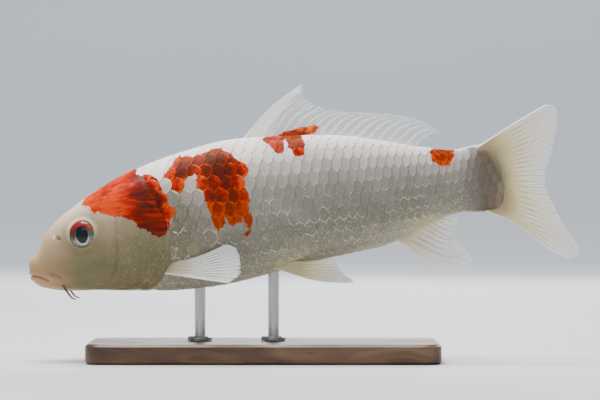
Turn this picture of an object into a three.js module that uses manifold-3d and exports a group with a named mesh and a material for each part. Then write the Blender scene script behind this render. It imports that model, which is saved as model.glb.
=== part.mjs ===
// Koi carp, a young fish at life size, swimming nose-down over a plain display stand.
// Millimetres, +Z up, origin at the centre of the underside of the stand's base.
// The fish is shaped level in a frame of its own: x runs back from the snout, y to the
// fish's right and z up. Its group then tips it nose-down and lifts it onto two rods.
// The flesh is one closed loft, parted by thin cuts; each fin is a thin plate of its own.

import * as THREE from "three";
import { mergeVertices } from "three/addons/utils/BufferGeometryUtils.js";
import Module from "manifold-3d";

const wasm = await Module();
wasm.setup();

// Whole fish
const GAP = 0.3; // clearance between neighbouring pieces
const PITCH = THREE.MathUtils.degToRad(9.5); // nose-down tilt
const SNOUT_AT = new THREE.Vector3(-94, 0, 38); // the fish's own origin, over the base
const FLESH_LENGTH = 195; // snout to the rear edge of the flesh
const SWAY = 5; // sideways swing of the tail root
const SWAY_FROM = 70; // distance from the snout at which the swing starts
const STATIONS = 42; // rings along the body
const STATION_CROWDING = 1.7; // power that crowds the rings towards the snout
const RING_POINTS = 32;

// Body outlines as [distance from the snout, value]
const BACK = [
  [0, -2.4], [0.25, 1], [2, 3.4], [5.6, 6.3], [7, 8.9], [9.2, 12.2], [12.5, 15],
  [20.8, 20.2], [31.6, 25.5], [50, 32], [67, 35.1], [84, 36.9], [107, 35.3],
  [137, 30], [166, 20.6], [176, 18.1], [186, 18.6], [195, 17.5],
];
const BELLY = [
  [0, -2.4], [0.2, -5.3], [0.7, -6.4], [3.1, -8.9], [6.6, -10.5], [12.9, -12.3],
  [28.4, -14.6], [39, -16.7], [58, -19.7], [77, -20.6], [98, -18.9], [115, -17.2],
  [130, -16.5], [145, -15.2], [156, -11.6], [165, -8.9], [174, -7.8], [184, -9.3],
  [195, -9.5],
];
const HALF_WIDTH = [
  [0, 0], [0.25, 3.1], [2, 6.1], [5.6, 8], [9, 9.2], [14, 10.6], [23, 13], [31, 14.6],
  [42, 16.2], [56, 17.1], [78, 17.6], [92, 17.1], [110, 15.4], [130, 12.7],
  [150, 9.5], [166, 6.9], [177, 4.9], [187, 2.7], [195, 1],
];
const WIDEST_HEIGHT = [
  [0, -2.4], [5, -1], [12, 1], [23, 3.5], [40, 5.5], [60, 7], [90, 8], [130, 7.5],
  [160, 5.5], [195, 4],
];
const UPPER_FULLNESS = [[0, 2.2], [10, 2.4], [25, 2.5], [48, 2.25], [75, 2.02], [195, 1.95]];
const LOWER_FULLNESS = [[0, 2.2], [25, 2.3], [50, 2.4], [85, 2.3], [130, 2.1], [195, 2]];

// Cut lines as [x, z], from above the fish to below it
const GILL_SLIT = [
  [49, 45], [49.5, 33], [51.5, 22], [56, 14], [58.3, 6], [58, -2], [55.5, -9],
  [51, -14.5], [46, -18], [43, -28],
];
const CHEEK_LINE = [[41, 20], [38, 12], [37.4, 2], [36.4, -7], [33, -13]];
const DORSAL_CUT = [[103, 50], [103, -30]];
const VENT_CUT = [[142, 50], [142, -30]];
const REAR_LIMIT = [[205, 50], [205, -40]];
const FRONT_LIMIT = [[-8, 45], [-8, -28]];
const COVER_SPAN = [2, 8]; // the gill slit's points that bound a gill cover
const COVER_INSIDE = 9.5; // depth, from the midline, at which a gill cover starts
const LIP_CREASE = [[4.4, 14], [5.3, 6.4], [6, 2], [7, -2.5], [9.2, -6.4]];
const MOUTH_SLIT = [[9.2, -6.4], [5, -5], [-6, -3.9]];
const CHIN_CREASE = [[9.2, -6.4], [12, -9], [13.2, -16]];

// Eyes
const EYE_AT = { x: 23.4, z: 9.1 };
const EYE_RADIUS = 5.6;
const EYE_HALF_DEPTH = 3.1;
const EYE_SINK = 1.85; // how far the eyeball's centre lies under the skin

// Barbels as paths on the left side, with root and tip radii
const BARBELS = {
  barbel_front: { path: [[7.4, -7.2, -4], [8.8, -9, -5.4], [10.4, -9.4, -6.9]], root: 0.4, tip: 0.26 },
  barbel_rear: {
    path: [[11.8, -5.4, -8.8], [14.2, -7.2, -12.8], [15.4, -7.6, -15], [17.2, -7.8, -16.2]],
    root: 0.5,
    tip: 0.28,
  },
};

// Fins: lines across the rays, from the root line to the line of the ray tips. A root line
// of bare x positions follows the body's outline. Paired fins are given for the left side.
const FIN_ROOT_DEPTH = 1.2; // how far a fin's root reaches under the body's outline
const DORSAL_FIN = {
  rootOn: BACK,
  rootSign: -1,
  rootAt: [92, 103.5, 115, 126.3, 137.5, 149, 160.3],
  lines: [
    [
      [105.5, 0, 46.4], [111.3, 0, 42.6], [122, 0, 39.3], [134, 0, 37.2], [146.4, 0, 34.2],
      [156.4, 0, 30.3], [165.3, 0, 25.1],
    ],
    [
      [120.4, 0, 54.2], [120.3, 0, 47.6], [130.6, 0, 41.4], [143.3, 0, 38.4],
      [156.9, 0, 35], [165, 0, 31.4], [171, 0, 25.9],
    ],
  ],
  rays: 17,
  rootThickness: 1.7,
};
const ANAL_FIN = {
  rootOn: BELLY,
  rootSign: 1,
  rootAt: [146, 150.5, 155, 159, 162.5, 165.5],
  lines: [
    [
      [160, 0, -25], [163, 0, -21.8], [164, 0, -17.6], [165, 0, -14.6], [167, 0, -11.5],
      [169, 0, -8.9],
    ],
    [
      [175, 0, -29.1], [175.7, 0, -26.3], [172.8, 0, -21.2], [170.8, 0, -17.6],
      [171.4, 0, -13.4], [172.6, 0, -9.2],
    ],
  ],
  rays: 10,
  rootThickness: 1.5,
};
const TAIL_FIN_UPPER = {
  lines: [
    [[184, 0, 17], [189.5, 0, 14.5], [192.5, 0, 9.5], [193, 0, 4]],
    [[201.3, 0, 24.5], [203.8, 0, 20], [204.2, 0, 14.2], [203, 0, 8.4], [201.7, 0, 2.9]],
    [[218.6, 0, 31], [219.4, 0, 24.5], [217, 0, 16.5], [213.8, 0, 8.8], [210.3, 0, 1.6]],
  ],
  rays: 12,
  rootThickness: 2,
};
const TAIL_FIN_LOWER = {
  lines: [
    [[193, 0, 3.4], [192.5, 0, -3], [190, 0, -8], [184, 0, -8.2]],
    [
      [198.7, 0, 2.3], [198.9, 0, -3.4], [199.3, 0, -10], [198.2, 0, -14.9],
      [196.3, 0, -16.6],
    ],
    [
      [204.5, 0, 1.4], [204.9, 0, -5.7], [207.2, 0, -14.7], [208.8, 0, -21.8],
      [207.2, 0, -28.2],
    ],
    [
      [210.2, 0, 0.7], [210.1, 0, -5], [213, 0, -14.5], [217, 0, -25], [219.2, 0, -30.5],
      [216.3, 0, -34.7],
    ],
  ],
  rays: 12,
  rootThickness: 2,
};
const PECTORAL_FIN = {
  lines: [
    [[54.3, -12.2, -12], [57, -13, -7.8]],
    [[66.8, -21, -15.7], [69.5, -20, -11.6], [68.3, -17.5, -7.2]],
    [
      [79.5, -28, -19.7], [83.5, -27, -16.5], [84.8, -25, -11.5], [84.2, -22.5, -7],
      [81, -20, -4.2],
    ],
  ],
  rays: 10,
  rootThickness: 2,
};
const PELVIC_FIN = {
  lines: [
    [[97.5, -4.6, -17.4], [104, -6.6, -15.4]],
    [[112.5, -11, -24.4], [112.8, -11.8, -20.5], [112.5, -10.8, -16.6]],
    [[127.9, -15, -27.9], [124.5, -15.5, -24.8], [122.5, -15, -21], [121, -13.5, -17.3]],
  ],
  rays: 9,
  rootThickness: 1.7,
};
const FIN_EDGE_THICKNESS = 0.55;
const FIN_STEPS = 5; // steps along each ray

// Stand
const BASE_LENGTH = 140;
const BASE_WIDTH = 52;
const BASE_HEIGHT = 8;
const BASE_CORNER = 6;
const BASE_BEVEL = 1;
const ROD_RADIUS = 2.2;
const ROD_SOCKET = 4; // depth of each rod's end inside the belly
const FLANGE_RADIUS = 5;
const FLANGE_HEIGHT = 1.8;
const RODS = { stand_rod_front: 66, stand_rod_rear: 96 }; // distance from the snout

// Finishes
const PEARL_WHITE = { color: 0xe6e0d8, roughness: 0.35 };
const CREAM_SKIN = { color: 0xd9cbb4, roughness: 0.4 };
const FIN_WHITE = { color: 0xe4e2dc, roughness: 0.45 };
const EYE_DARK = { color: 0x1a1c28, roughness: 0.1 };
const BARBEL_DARK = { color: 0x6e5f4c, roughness: 0.5 };
const WALNUT = { color: 0x3a2a20, roughness: 0.5 };
const STEEL = { color: 0xb4b6ba, roughness: 0.3, metalness: 1 };

// ---- Curves

// A smooth curve through keys [position, value]. The slope at each key is that of the
// parabola through it and its two neighbours.
function curveThrough(keys) {
  const chords = keys.slice(1).map((key, i) => (key[1] - keys[i][1]) / (key[0] - keys[i][0]));
  const slopes = keys.map((key, i) => {
    if (i === 0) return chords[0];
    if (i === keys.length - 1) return chords[i - 1];
    const before = key[0] - keys[i - 1][0];
    const after = keys[i + 1][0] - key[0];
    return (chords[i - 1] * after + chords[i] * before) / (before + after);
  });
  return (position) => {
    let i = 0;
    while (i < keys.length - 2 && position > keys[i + 1][0]) i += 1;
    const span = keys[i + 1][0] - keys[i][0];
    const t = (position - keys[i][0]) / span;
    const startWeight = (1 + 2 * t) * (1 - t) * (1 - t);
    const endWeight = t * t * (3 - 2 * t);
    return (
      startWeight * keys[i][1] +
      endWeight * keys[i + 1][1] +
      t * (1 - t) * (1 - t) * span * slopes[i] -
      t * t * (1 - t) * span * slopes[i + 1]
    );
  };
}

// A body outline is smooth in the square root of the distance from the snout, so that every
// outline leaves the snout squarely and rounds it off.
function outline(keys) {
  const curve = curveThrough(keys.map(([x, value]) => [Math.sqrt(x), value]));
  return (x) => curve(Math.sqrt(x));
}

// A smooth line across the rays of a fin: 0 is the leading ray and 1 the last one.
function lineAcross(points) {
  const axes = [0, 1, 2].map((axis) =>
    curveThrough(points.map((point, i) => [i / (points.length - 1), point[axis]])),
  );
  return (across) => axes.map((curve) => curve(across));
}

const back = outline(BACK);
const belly = outline(BELLY);
const halfWidth = outline(HALF_WIDTH);
const widestHeight = outline(WIDEST_HEIGHT);
const upperFullness = outline(UPPER_FULLNESS);
const lowerFullness = outline(LOWER_FULLNESS);

// Sideways offset of the body's midline
function sway(x) {
  const reach = Math.max(x - SWAY_FROM, 0) / (FLESH_LENGTH - SWAY_FROM);
  return SWAY * reach * reach;
}

// ---- Solids

function signedPower(value, power) {
  return Math.sign(value) * Math.abs(value) ** power;
}

// A solid from flat lists of coordinates and triangle corners, turned to face outwards.
function solidFromArrays(vertProperties, triVerts) {
  const solid = new wasm.Manifold(new wasm.Mesh({ numProp: 3, vertProperties, triVerts }));
  if (solid.volume() >= 0) return solid;
  const turned = triVerts.slice().reverse();
  return new wasm.Manifold(new wasm.Mesh({ numProp: 3, vertProperties, triVerts: turned }));
}

function solidFrom(points, faces) {
  return solidFromArrays(new Float32Array(points.flat()), new Uint32Array(faces));
}

function solidOfGeometry(geometry) {
  const bare = geometry.clone();
  bare.deleteAttribute("normal");
  bare.deleteAttribute("uv");
  const merged = mergeVertices(bare, 1e-4);
  return solidFromArrays(merged.attributes.position.array, new Uint32Array(merged.index.array));
}

function geometryOfSolid(solid) {
  const mesh = solid.getMesh();
  const geometry = new THREE.BufferGeometry();
  geometry.setAttribute("position", new THREE.BufferAttribute(mesh.vertProperties, 3));
  geometry.setIndex(new THREE.BufferAttribute(mesh.triVerts, 1));
  geometry.computeVertexNormals();
  return geometry;
}

function middleOf(ring) {
  return [0, 1, 2].map((axis) => ring.reduce((sum, point) => sum + point[axis], 0) / ring.length);
}

// A closed solid through rings of points, with a fan of faces over each end.
function tubeThrough(rings) {
  const count = rings[0].length;
  const points = rings.flat();
  const lastRing = (rings.length - 1) * count;
  const frontMiddle = points.push(middleOf(rings[0])) - 1;
  const rearMiddle = points.push(middleOf(rings.at(-1))) - 1;
  const faces = [];
  for (let j = 0; j < count; j += 1) {
    const next = (j + 1) % count;
    for (let start = 0; start < lastRing; start += count) {
      faces.push(start + j, start + next, start + count + next);
      faces.push(start + j, start + count + next, start + count + j);
    }
    faces.push(frontMiddle, next, j);
    faces.push(rearMiddle, lastRing + j, lastRing + next);
  }
  return solidFrom(points, faces);
}

// A closed plate between two grids of points.
function plateBetween(near, far) {
  const rows = near.length;
  const columns = near[0].length;
  const points = [...near.flat(), ...far.flat()];
  const nearAt = (i, j) => i * columns + j;
  const farAt = (i, j) => (rows + i) * columns + j;
  const faces = [];
  const quad = (a, b, c, d) => faces.push(a, b, c, a, c, d);
  for (let i = 0; i < rows - 1; i += 1) {
    for (let j = 0; j < columns - 1; j += 1) {
      quad(nearAt(i, j), nearAt(i + 1, j), nearAt(i + 1, j + 1), nearAt(i, j + 1));
      quad(farAt(i, j), farAt(i, j + 1), farAt(i + 1, j + 1), farAt(i + 1, j));
    }
    quad(nearAt(i, 0), farAt(i, 0), farAt(i + 1, 0), nearAt(i + 1, 0));
    const rim = columns - 1;
    quad(nearAt(i, rim), nearAt(i + 1, rim), farAt(i + 1, rim), farAt(i, rim));
  }
  for (let j = 0; j < columns - 1; j += 1) {
    const last = rows - 1;
    quad(nearAt(0, j), nearAt(0, j + 1), farAt(0, j + 1), farAt(0, j));
    quad(nearAt(last, j), farAt(last, j), farAt(last, j + 1), nearAt(last, j + 1));
  }
  return solidFrom(points, faces);
}

// The flesh from snout to tail root, grown outwards by the given allowance.
function fleshSolid(allowance) {
  const rings = [];
  for (let i = 1; i <= STATIONS; i += 1) {
    const x = FLESH_LENGTH * (i / STATIONS) ** STATION_CROWDING;
    const middle = widestHeight(x);
    const ring = [];
    for (let j = 0; j < RING_POINTS; j += 1) {
      const angle = (2 * Math.PI * j) / RING_POINTS;
      const upper = Math.cos(angle) > 0;
      const rise = upper ? back(x) - middle : middle - belly(x);
      const power = 2 / (upper ? upperFullness(x) : lowerFullness(x));
      ring.push([
        x + (i === STATIONS ? allowance : 0),
        sway(x) + (halfWidth(x) + allowance) * signedPower(Math.sin(angle), power),
        middle + (rise + allowance) * signedPower(Math.cos(angle), power),
      ]);
    }
    rings.push(ring);
  }
  return tubeThrough(rings);
}

// A prism across the fish's whole width, or over a range of y, from a side outline.
function sidePrism(points, fromY = -40, toY = 40) {
  const shape = new THREE.Shape(points.map(([x, z]) => new THREE.Vector2(x, z)));
  const geometry = new THREE.ExtrudeGeometry(shape, { depth: toY - fromY, bevelEnabled: false });
  geometry.rotateX(Math.PI / 2); // the outline's second axis becomes z, and depth runs to -y
  geometry.translate(0, toY, 0);
  return solidOfGeometry(geometry);
}

// The side outline between two cut lines, kept half a gap clear of each.
function between(frontLine, rearLine) {
  const front = frontLine.map(([x, z]) => [x + GAP / 2, z]);
  const rear = rearLine.map(([x, z]) => [x - GAP / 2, z]);
  return [...front, ...rear.reverse()];
}

// A side outline grown outwards by a gap, with its corners kept sharp.
function withClearance(points) {
  const corners = points.map(([x, z]) => new THREE.Vector2(x, z));
  const outwards = THREE.ShapeUtils.isClockWise(corners) ? 1 : -1;
  const normals = corners.map((corner, i) => {
    const edge = corners[(i + 1) % corners.length].clone().sub(corner).normalize();
    return new THREE.Vector2(-edge.y, edge.x).multiplyScalar(outwards);
  });
  return corners.map((corner, i) => {
    const before = normals.at(i - 1);
    const mitre = before.clone().add(normals[i]).divideScalar(1 + before.dot(normals[i]));
    return corner.clone().addScaledVector(mitre, GAP).toArray();
  });
}

// ---- Fins, eyes, barbels and rods

function rootLine(fin) {
  if (!fin.rootAt) return [];
  const edge = outline(fin.rootOn);
  return [fin.rootAt.map((x) => [x, 0, edge(x) + fin.rootSign * FIN_ROOT_DEPTH])];
}

function crossProduct(a, b) {
  return new THREE.Vector3(...a).cross(new THREE.Vector3(...b)).normalize().toArray();
}

// A fin's plate. Each ray runs through the fin's lines in turn, and the plate thins from
// its root to the ray tips.
function finSolid(fin) {
  const lines = [...rootLine(fin), ...fin.lines].map(lineAcross);
  const centre = [];
  for (let i = 0; i <= fin.rays; i += 1) {
    const ray = lineAcross(lines.map((line) => line(i / fin.rays)));
    const row = [];
    for (let j = 0; j <= FIN_STEPS; j += 1) {
      const [x, y, z] = ray(j / FIN_STEPS);
      row.push([x, y + sway(x), z]);
    }
    centre.push(row);
  }
  const faceAt = (side) =>
    centre.map((row, i) =>
      row.map((point, j) => {
        const [rowBefore, rowAfter] = [Math.max(i - 1, 0), Math.min(i + 1, fin.rays)];
        const [before, after] = [Math.max(j - 1, 0), Math.min(j + 1, FIN_STEPS)];
        const across = point.map((_, k) => centre[rowAfter][j][k] - centre[rowBefore][j][k]);
        const along = point.map((_, k) => row[after][k] - row[before][k]);
        const normal = crossProduct(across, along);
        const root = fin.rootThickness;
        const thickness = root + (FIN_EDGE_THICKNESS - root) * Math.sqrt(j / FIN_STEPS);
        return point.map((value, k) => value + (side * thickness * normal[k]) / 2);
      }),
    );
  return plateBetween(faceAt(1), faceAt(-1));
}

function mirrored(solid) {
  return solid.mirror([0, 1, 0]);
}

// The skin's point at a side position on the fish's left, and the outward direction there.
function leftSkin(x, z) {
  const widthAt = (atX, atZ) => {
    const middle = widestHeight(atX);
    const upper = atZ > middle;
    const rise = upper ? back(atX) - middle : middle - belly(atX);
    const fullness = upper ? upperFullness(atX) : lowerFullness(atX);
    const share = Math.abs(atZ - middle) / rise;
    return halfWidth(atX) * (1 - share ** fullness) ** (1 / fullness);
  };
  const slopeX = (widthAt(x + 1, z) - widthAt(x - 1, z)) / 2;
  const slopeZ = (widthAt(x, z + 1) - widthAt(x, z - 1)) / 2;
  return {
    point: new THREE.Vector3(x, -widthAt(x, z), z),
    outward: new THREE.Vector3(-slopeX, -1, -slopeZ).normalize(),
  };
}

// A flattened eyeball set into the left side, grown by the given allowance.
function eyeSolid(allowance) {
  const { point, outward } = leftSkin(EYE_AT.x, EYE_AT.z);
  const centre = point.clone().addScaledVector(outward, -EYE_SINK);
  const ball = new THREE.SphereGeometry(1, 18, 8);
  ball.rotateX(Math.PI / 2); // the poles face along z, which turns to the outward direction
  const radius = EYE_RADIUS + allowance;
  ball.scale(radius, radius, EYE_HALF_DEPTH + allowance);
  const turn = new THREE.Quaternion().setFromUnitVectors(new THREE.Vector3(0, 0, 1), outward);
  ball.applyQuaternion(turn);
  ball.translate(centre.x, centre.y, centre.z);
  return solidOfGeometry(ball);
}

// A tapering feeler along a path.
function barbelSolid({ path, root, tip }) {
  const curve = new THREE.CatmullRomCurve3(path.map((point) => new THREE.Vector3(...point)));
  const steps = 6;
  const sides = 6;
  const frames = curve.computeFrenetFrames(steps, false);
  const rings = [];
  for (let i = 0; i <= steps; i += 1) {
    const middle = curve.getPointAt(i / steps);
    const radius = root + (tip - root) * (i / steps);
    const ring = [];
    for (let j = 0; j < sides; j += 1) {
      const angle = (2 * Math.PI * j) / sides;
      const point = middle.clone();
      point.addScaledVector(frames.normals[i], radius * Math.cos(angle));
      point.addScaledVector(frames.binormals[i], radius * Math.sin(angle));
      ring.push(point.toArray());
    }
    rings.push(ring);
  }
  return tubeThrough(rings);
}

// A rod with a flange at its foot, standing on the z axis and grown by an allowance.
function rodGeometry(height, allowance) {
  const rod = ROD_RADIUS + allowance;
  const profile = [
    [0, 0], [FLANGE_RADIUS, 0], [FLANGE_RADIUS, FLANGE_HEIGHT - 0.5],
    [FLANGE_RADIUS - 0.5, FLANGE_HEIGHT], [rod, FLANGE_HEIGHT], [rod, height + allowance],
    [0, height + allowance],
  ].map(([radius, z]) => new THREE.Vector2(radius, z));
  return new THREE.LatheGeometry(profile, 16).rotateX(Math.PI / 2);
}

// ---- Assembly

const part = new THREE.Group();
const koi = new THREE.Group();
koi.rotation.y = -PITCH;
koi.position.copy(SNOUT_AT);
part.add(koi);
const stand = new THREE.Group();
part.add(stand);
part.updateMatrixWorld(true);

function addPiece(group, name, geometry, finish) {
  const mesh = new THREE.Mesh(geometry, new THREE.MeshStandardMaterial(finish));
  mesh.name = name;
  group.add(mesh);
}

function addFlesh(name, solid, finish) {
  addPiece(koi, name, geometryOfSolid(solid), finish);
}

const eyeLeft = eyeSolid(0);
const eyeSocket = eyeSolid(GAP);
let flesh = fleshSolid(0).subtract(eyeSocket).subtract(mirrored(eyeSocket));
const clearOfFlesh = fleshSolid(GAP);

// Rods first: each one's end sits in a socket in the belly.
for (const [name, x] of Object.entries(RODS)) {
  const foot = koi.localToWorld(new THREE.Vector3(x, sway(x), belly(x)));
  const height = foot.z + ROD_SOCKET - BASE_HEIGHT - GAP;
  const standing = new THREE.Matrix4().makeTranslation(foot.x, foot.y, BASE_HEIGHT + GAP);
  const rod = rodGeometry(height, 0).applyMatrix4(standing);
  addPiece(stand, name, rod, STEEL);
  const intoKoi = koi.matrixWorld.clone().invert().multiply(standing);
  flesh = flesh.subtract(solidOfGeometry(rodGeometry(height, GAP).applyMatrix4(intoKoi)));
}

const corner = BASE_CORNER;
const halfBase = new THREE.Vector2(BASE_LENGTH / 2 - BASE_BEVEL, BASE_WIDTH / 2 - BASE_BEVEL);
const baseShape = new THREE.Shape();
baseShape.absarc(halfBase.x - corner, halfBase.y - corner, corner, 0, Math.PI / 2);
baseShape.absarc(corner - halfBase.x, halfBase.y - corner, corner, Math.PI / 2, Math.PI);
baseShape.absarc(corner - halfBase.x, corner - halfBase.y, corner, Math.PI, 1.5 * Math.PI);
baseShape.absarc(halfBase.x - corner, corner - halfBase.y, corner, 1.5 * Math.PI, 2 * Math.PI);
const baseSlab = new THREE.ExtrudeGeometry(baseShape, {
  depth: BASE_HEIGHT - 2 * BASE_BEVEL,
  bevelThickness: BASE_BEVEL,
  bevelSize: BASE_BEVEL,
  bevelSegments: 1,
  curveSegments: 4,
});
baseSlab.translate(0, 0, BASE_BEVEL);
addPiece(stand, "stand_base", baseSlab, WALNUT);

// The head, parted into jaws, gill covers and the rest
const headBlock = flesh.intersect(sidePrism(between(FRONT_LIMIT, GILL_SLIT)));
const upperJawOutline = [[-6, LIP_CREASE[0][1]], ...LIP_CREASE, ...MOUTH_SLIT.slice(1)];
const chinOutline = [...MOUTH_SLIT.toReversed(), ...CHIN_CREASE.slice(1), [-6, -16]];
const coverOutline = between(CHEEK_LINE, GILL_SLIT.slice(...COVER_SPAN));
const aroundUpperJaw = sidePrism(withClearance(upperJawOutline));
const aroundChin = sidePrism(withClearance(chinOutline));
const aroundCover = sidePrism(withClearance(coverOutline), -40, GAP - COVER_INSIDE);
const upperJaw = headBlock.intersect(sidePrism(upperJawOutline));
const lowerJaw = headBlock.intersect(sidePrism(chinOutline)).subtract(aroundUpperJaw);
const coverLeft = headBlock.intersect(sidePrism(coverOutline, -40, -COVER_INSIDE));
const head = headBlock
  .subtract(aroundUpperJaw)
  .subtract(aroundChin)
  .subtract(aroundCover)
  .subtract(mirrored(aroundCover));
addFlesh("head", head, CREAM_SKIN);
addFlesh("upper_jaw", upperJaw, CREAM_SKIN);
addFlesh("lower_jaw", lowerJaw, CREAM_SKIN);
addFlesh("gill_cover_left", coverLeft, CREAM_SKIN);
addFlesh("gill_cover_right", mirrored(coverLeft), CREAM_SKIN);
addFlesh("eye_left", eyeLeft, EYE_DARK);
addFlesh("eye_right", mirrored(eyeLeft), EYE_DARK);

// The trunk and the tail stalk
addFlesh("trunk_front", flesh.intersect(sidePrism(between(GILL_SLIT, DORSAL_CUT))), PEARL_WHITE);
addFlesh("trunk_rear", flesh.intersect(sidePrism(between(DORSAL_CUT, VENT_CUT))), PEARL_WHITE);
addFlesh("tail_stalk", flesh.intersect(sidePrism(between(VENT_CUT, REAR_LIMIT))), PEARL_WHITE);

// Fins on the midline
const medianFins = {
  dorsal_fin: DORSAL_FIN,
  anal_fin: ANAL_FIN,
  tail_fin_upper: TAIL_FIN_UPPER,
  tail_fin_lower: TAIL_FIN_LOWER,
};
for (const [name, fin] of Object.entries(medianFins)) {
  addFlesh(name, finSolid(fin).subtract(clearOfFlesh), FIN_WHITE);
}

// Pieces in pairs, made on the left and mirrored to the right
const pairs = {
  pectoral_fin: { solid: finSolid(PECTORAL_FIN), finish: FIN_WHITE },
  pelvic_fin: { solid: finSolid(PELVIC_FIN), finish: FIN_WHITE },
  barbel_front: { solid: barbelSolid(BARBELS.barbel_front), finish: CREAM_SKIN },
  barbel_rear: { solid: barbelSolid(BARBELS.barbel_rear), finish: BARBEL_DARK },
};
for (const [name, { solid, finish }] of Object.entries(pairs)) {
  addFlesh(`${name}_left`, solid.subtract(clearOfFlesh), finish);
  addFlesh(`${name}_right`, mirrored(solid).subtract(clearOfFlesh), finish);
}

export default part;
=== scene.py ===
# A young koi carp at life size, swimming nose-down over a walnut and steel display stand.
# The fish is shaped level, in millimetres, x back from the snout and y to its right;
# placed() tips it nose-down, lifts it over the stand and turns millimetres into metres.
import math
import bpy
import numpy as np
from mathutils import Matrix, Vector


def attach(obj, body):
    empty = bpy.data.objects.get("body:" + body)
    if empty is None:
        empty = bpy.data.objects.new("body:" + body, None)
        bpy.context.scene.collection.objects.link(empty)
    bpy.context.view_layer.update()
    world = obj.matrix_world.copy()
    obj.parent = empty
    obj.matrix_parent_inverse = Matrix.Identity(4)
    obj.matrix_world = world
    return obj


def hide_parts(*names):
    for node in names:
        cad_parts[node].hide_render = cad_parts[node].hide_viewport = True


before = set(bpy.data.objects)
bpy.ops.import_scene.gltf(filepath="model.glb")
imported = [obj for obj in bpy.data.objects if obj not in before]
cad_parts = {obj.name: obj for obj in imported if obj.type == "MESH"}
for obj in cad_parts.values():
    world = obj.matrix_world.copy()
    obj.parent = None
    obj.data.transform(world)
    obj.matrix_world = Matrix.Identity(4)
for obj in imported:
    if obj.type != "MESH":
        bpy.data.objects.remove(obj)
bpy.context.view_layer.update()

# ---- Camera
# A level look at the fish's left side from a metre away, through a long lens, at the height
# of the fish's middle.
VIEW_CENTRE = (0.0144, 0.0644)  # along the fish and up
VIEW_DISTANCE = 1.0
VIEW_WIDTH = 0.24

camera_data = bpy.data.cameras.new("camera")
camera_data.sensor_width = 36.0
camera_data.lens = camera_data.sensor_width * VIEW_DISTANCE / VIEW_WIDTH
camera = bpy.data.objects.new("camera", camera_data)
camera.location = (VIEW_CENTRE[0], -VIEW_DISTANCE, VIEW_CENTRE[1])
camera.rotation_euler = (math.pi / 2, 0.0, 0.0)
bpy.context.scene.collection.objects.link(camera)
bpy.context.scene.camera = camera

# ---- Skin
# The koi's hide, one unbroken wet skin from the lips to the root of the tail. It is bare on
# the head, folded at the lips, nostrils, eye sockets and gill covers, and thin under the
# scales behind them.
PITCH = math.radians(9.5)  # nose-down tilt
SNOUT_AT = np.array([-94.0, 0.0, 38.0])  # the level fish's origin, over the stand
FLESH_LENGTH = 195.0
SWAY = 5.0  # sideways swing of the tail root
SWAY_FROM = 70.0
BACK = [
    (0, -2.4), (0.25, 1), (2, 3.4), (5.6, 6.3), (7, 8.9), (9.2, 12.2), (12.5, 15),
    (20.8, 20.2), (31.6, 25.5), (50, 32), (67, 35.1), (84, 36.9), (107, 35.3), (137, 30),
    (166, 20.6), (176, 18.1), (186, 18.4), (195, 16),
]
BELLY = [
    (0, -2.4), (0.2, -5.3), (0.7, -6.4), (3.1, -8.9), (6.6, -10.5), (12.9, -12.3),
    (28.4, -14.6), (39, -16.7), (58, -19.7), (77, -20.6), (98, -18.9), (115, -17.2),
    (130, -16.5), (145, -15.2), (156, -11.6), (165, -8.9), (174, -7.8), (184, -9.1),
    (195, -8),
]
HALF_WIDTH = [
    (0, 0), (0.25, 3.1), (2, 6.1), (5.6, 8), (9, 9.2), (14, 10.6), (23, 13), (31, 14.6),
    (42, 16.2), (56, 17.1), (78, 17.6), (92, 17.1), (110, 15.4), (130, 12.7), (150, 9.5),
    (166, 6.9), (177, 4.7), (184, 2.6), (188, 1.5), (192, 0.74), (195, 0.4),
]
WIDEST_HEIGHT = [
    (0, -2.4), (5, -1), (12, 1), (23, 3.5), (40, 5.5), (60, 7), (90, 8), (130, 7.5),
    (160, 5.5), (195, 4),
]
UPPER_FULLNESS = [(0, 2.2), (10, 2.4), (25, 2.5), (48, 2.25), (75, 2.02), (175, 1.95), (195, 1.1)]
LOWER_FULLNESS = [(0, 2.2), (25, 2.3), (50, 2.4), (85, 2.3), (130, 2.1), (175, 2), (195, 1.1)]


def curve_through(keys):
    """A smooth curve through (position, value) keys, sloped by the parabola at each key."""
    at, value = np.array(keys, float).T
    span = np.diff(at)
    chord = np.diff(value) / span
    inner = (chord[:-1] * span[1:] + chord[1:] * span[:-1]) / (span[:-1] + span[1:])
    slope = np.concatenate([chord[:1], inner, chord[-1:]])

    def curve(position):
        i = np.clip(np.searchsorted(at, position) - 1, 0, len(span) - 1)
        t = (position - at[i]) / span[i]
        ends = (1 + 2 * t) * (1 - t) ** 2 * value[i] + t * t * (3 - 2 * t) * value[i + 1]
        leaving = t * (1 - t) ** 2 * span[i] * slope[i]
        arriving = t * t * (1 - t) * span[i] * slope[i + 1]
        return ends + leaving - arriving

    return curve


def outline(keys):
    """A body outline, smooth in the square root of x so that it rounds off at the snout."""
    curve = curve_through([(math.sqrt(x), value) for x, value in keys])
    return lambda x: curve(np.sqrt(x))


back, belly, half_width = outline(BACK), outline(BELLY), outline(HALF_WIDTH)
widest_height = outline(WIDEST_HEIGHT)
upper_fullness, lower_fullness = outline(UPPER_FULLNESS), outline(LOWER_FULLNESS)


def sway(x):
    """How far the body swings to its right at x."""
    reach = np.maximum(np.asarray(x, float) - SWAY_FROM, 0) / (FLESH_LENGTH - SWAY_FROM)
    return SWAY * reach**2


def turned(directions):
    """Directions of the level fish, tipped nose-down."""
    x, y, z = np.moveaxis(np.asarray(directions, float), -1, 0)
    cos, sin = math.cos(PITCH), math.sin(PITCH)
    return np.stack([x * cos - z * sin, y, x * sin + z * cos], axis=-1)


def placed(points):
    """Points of the level fish, in millimetres, set over the stand, in metres."""
    return (turned(points) + SNOUT_AT) * 0.001


def bell(distance, width):
    """1 at no distance, falling off smoothly over a width."""
    return np.exp(-((distance / width) ** 2))


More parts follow.
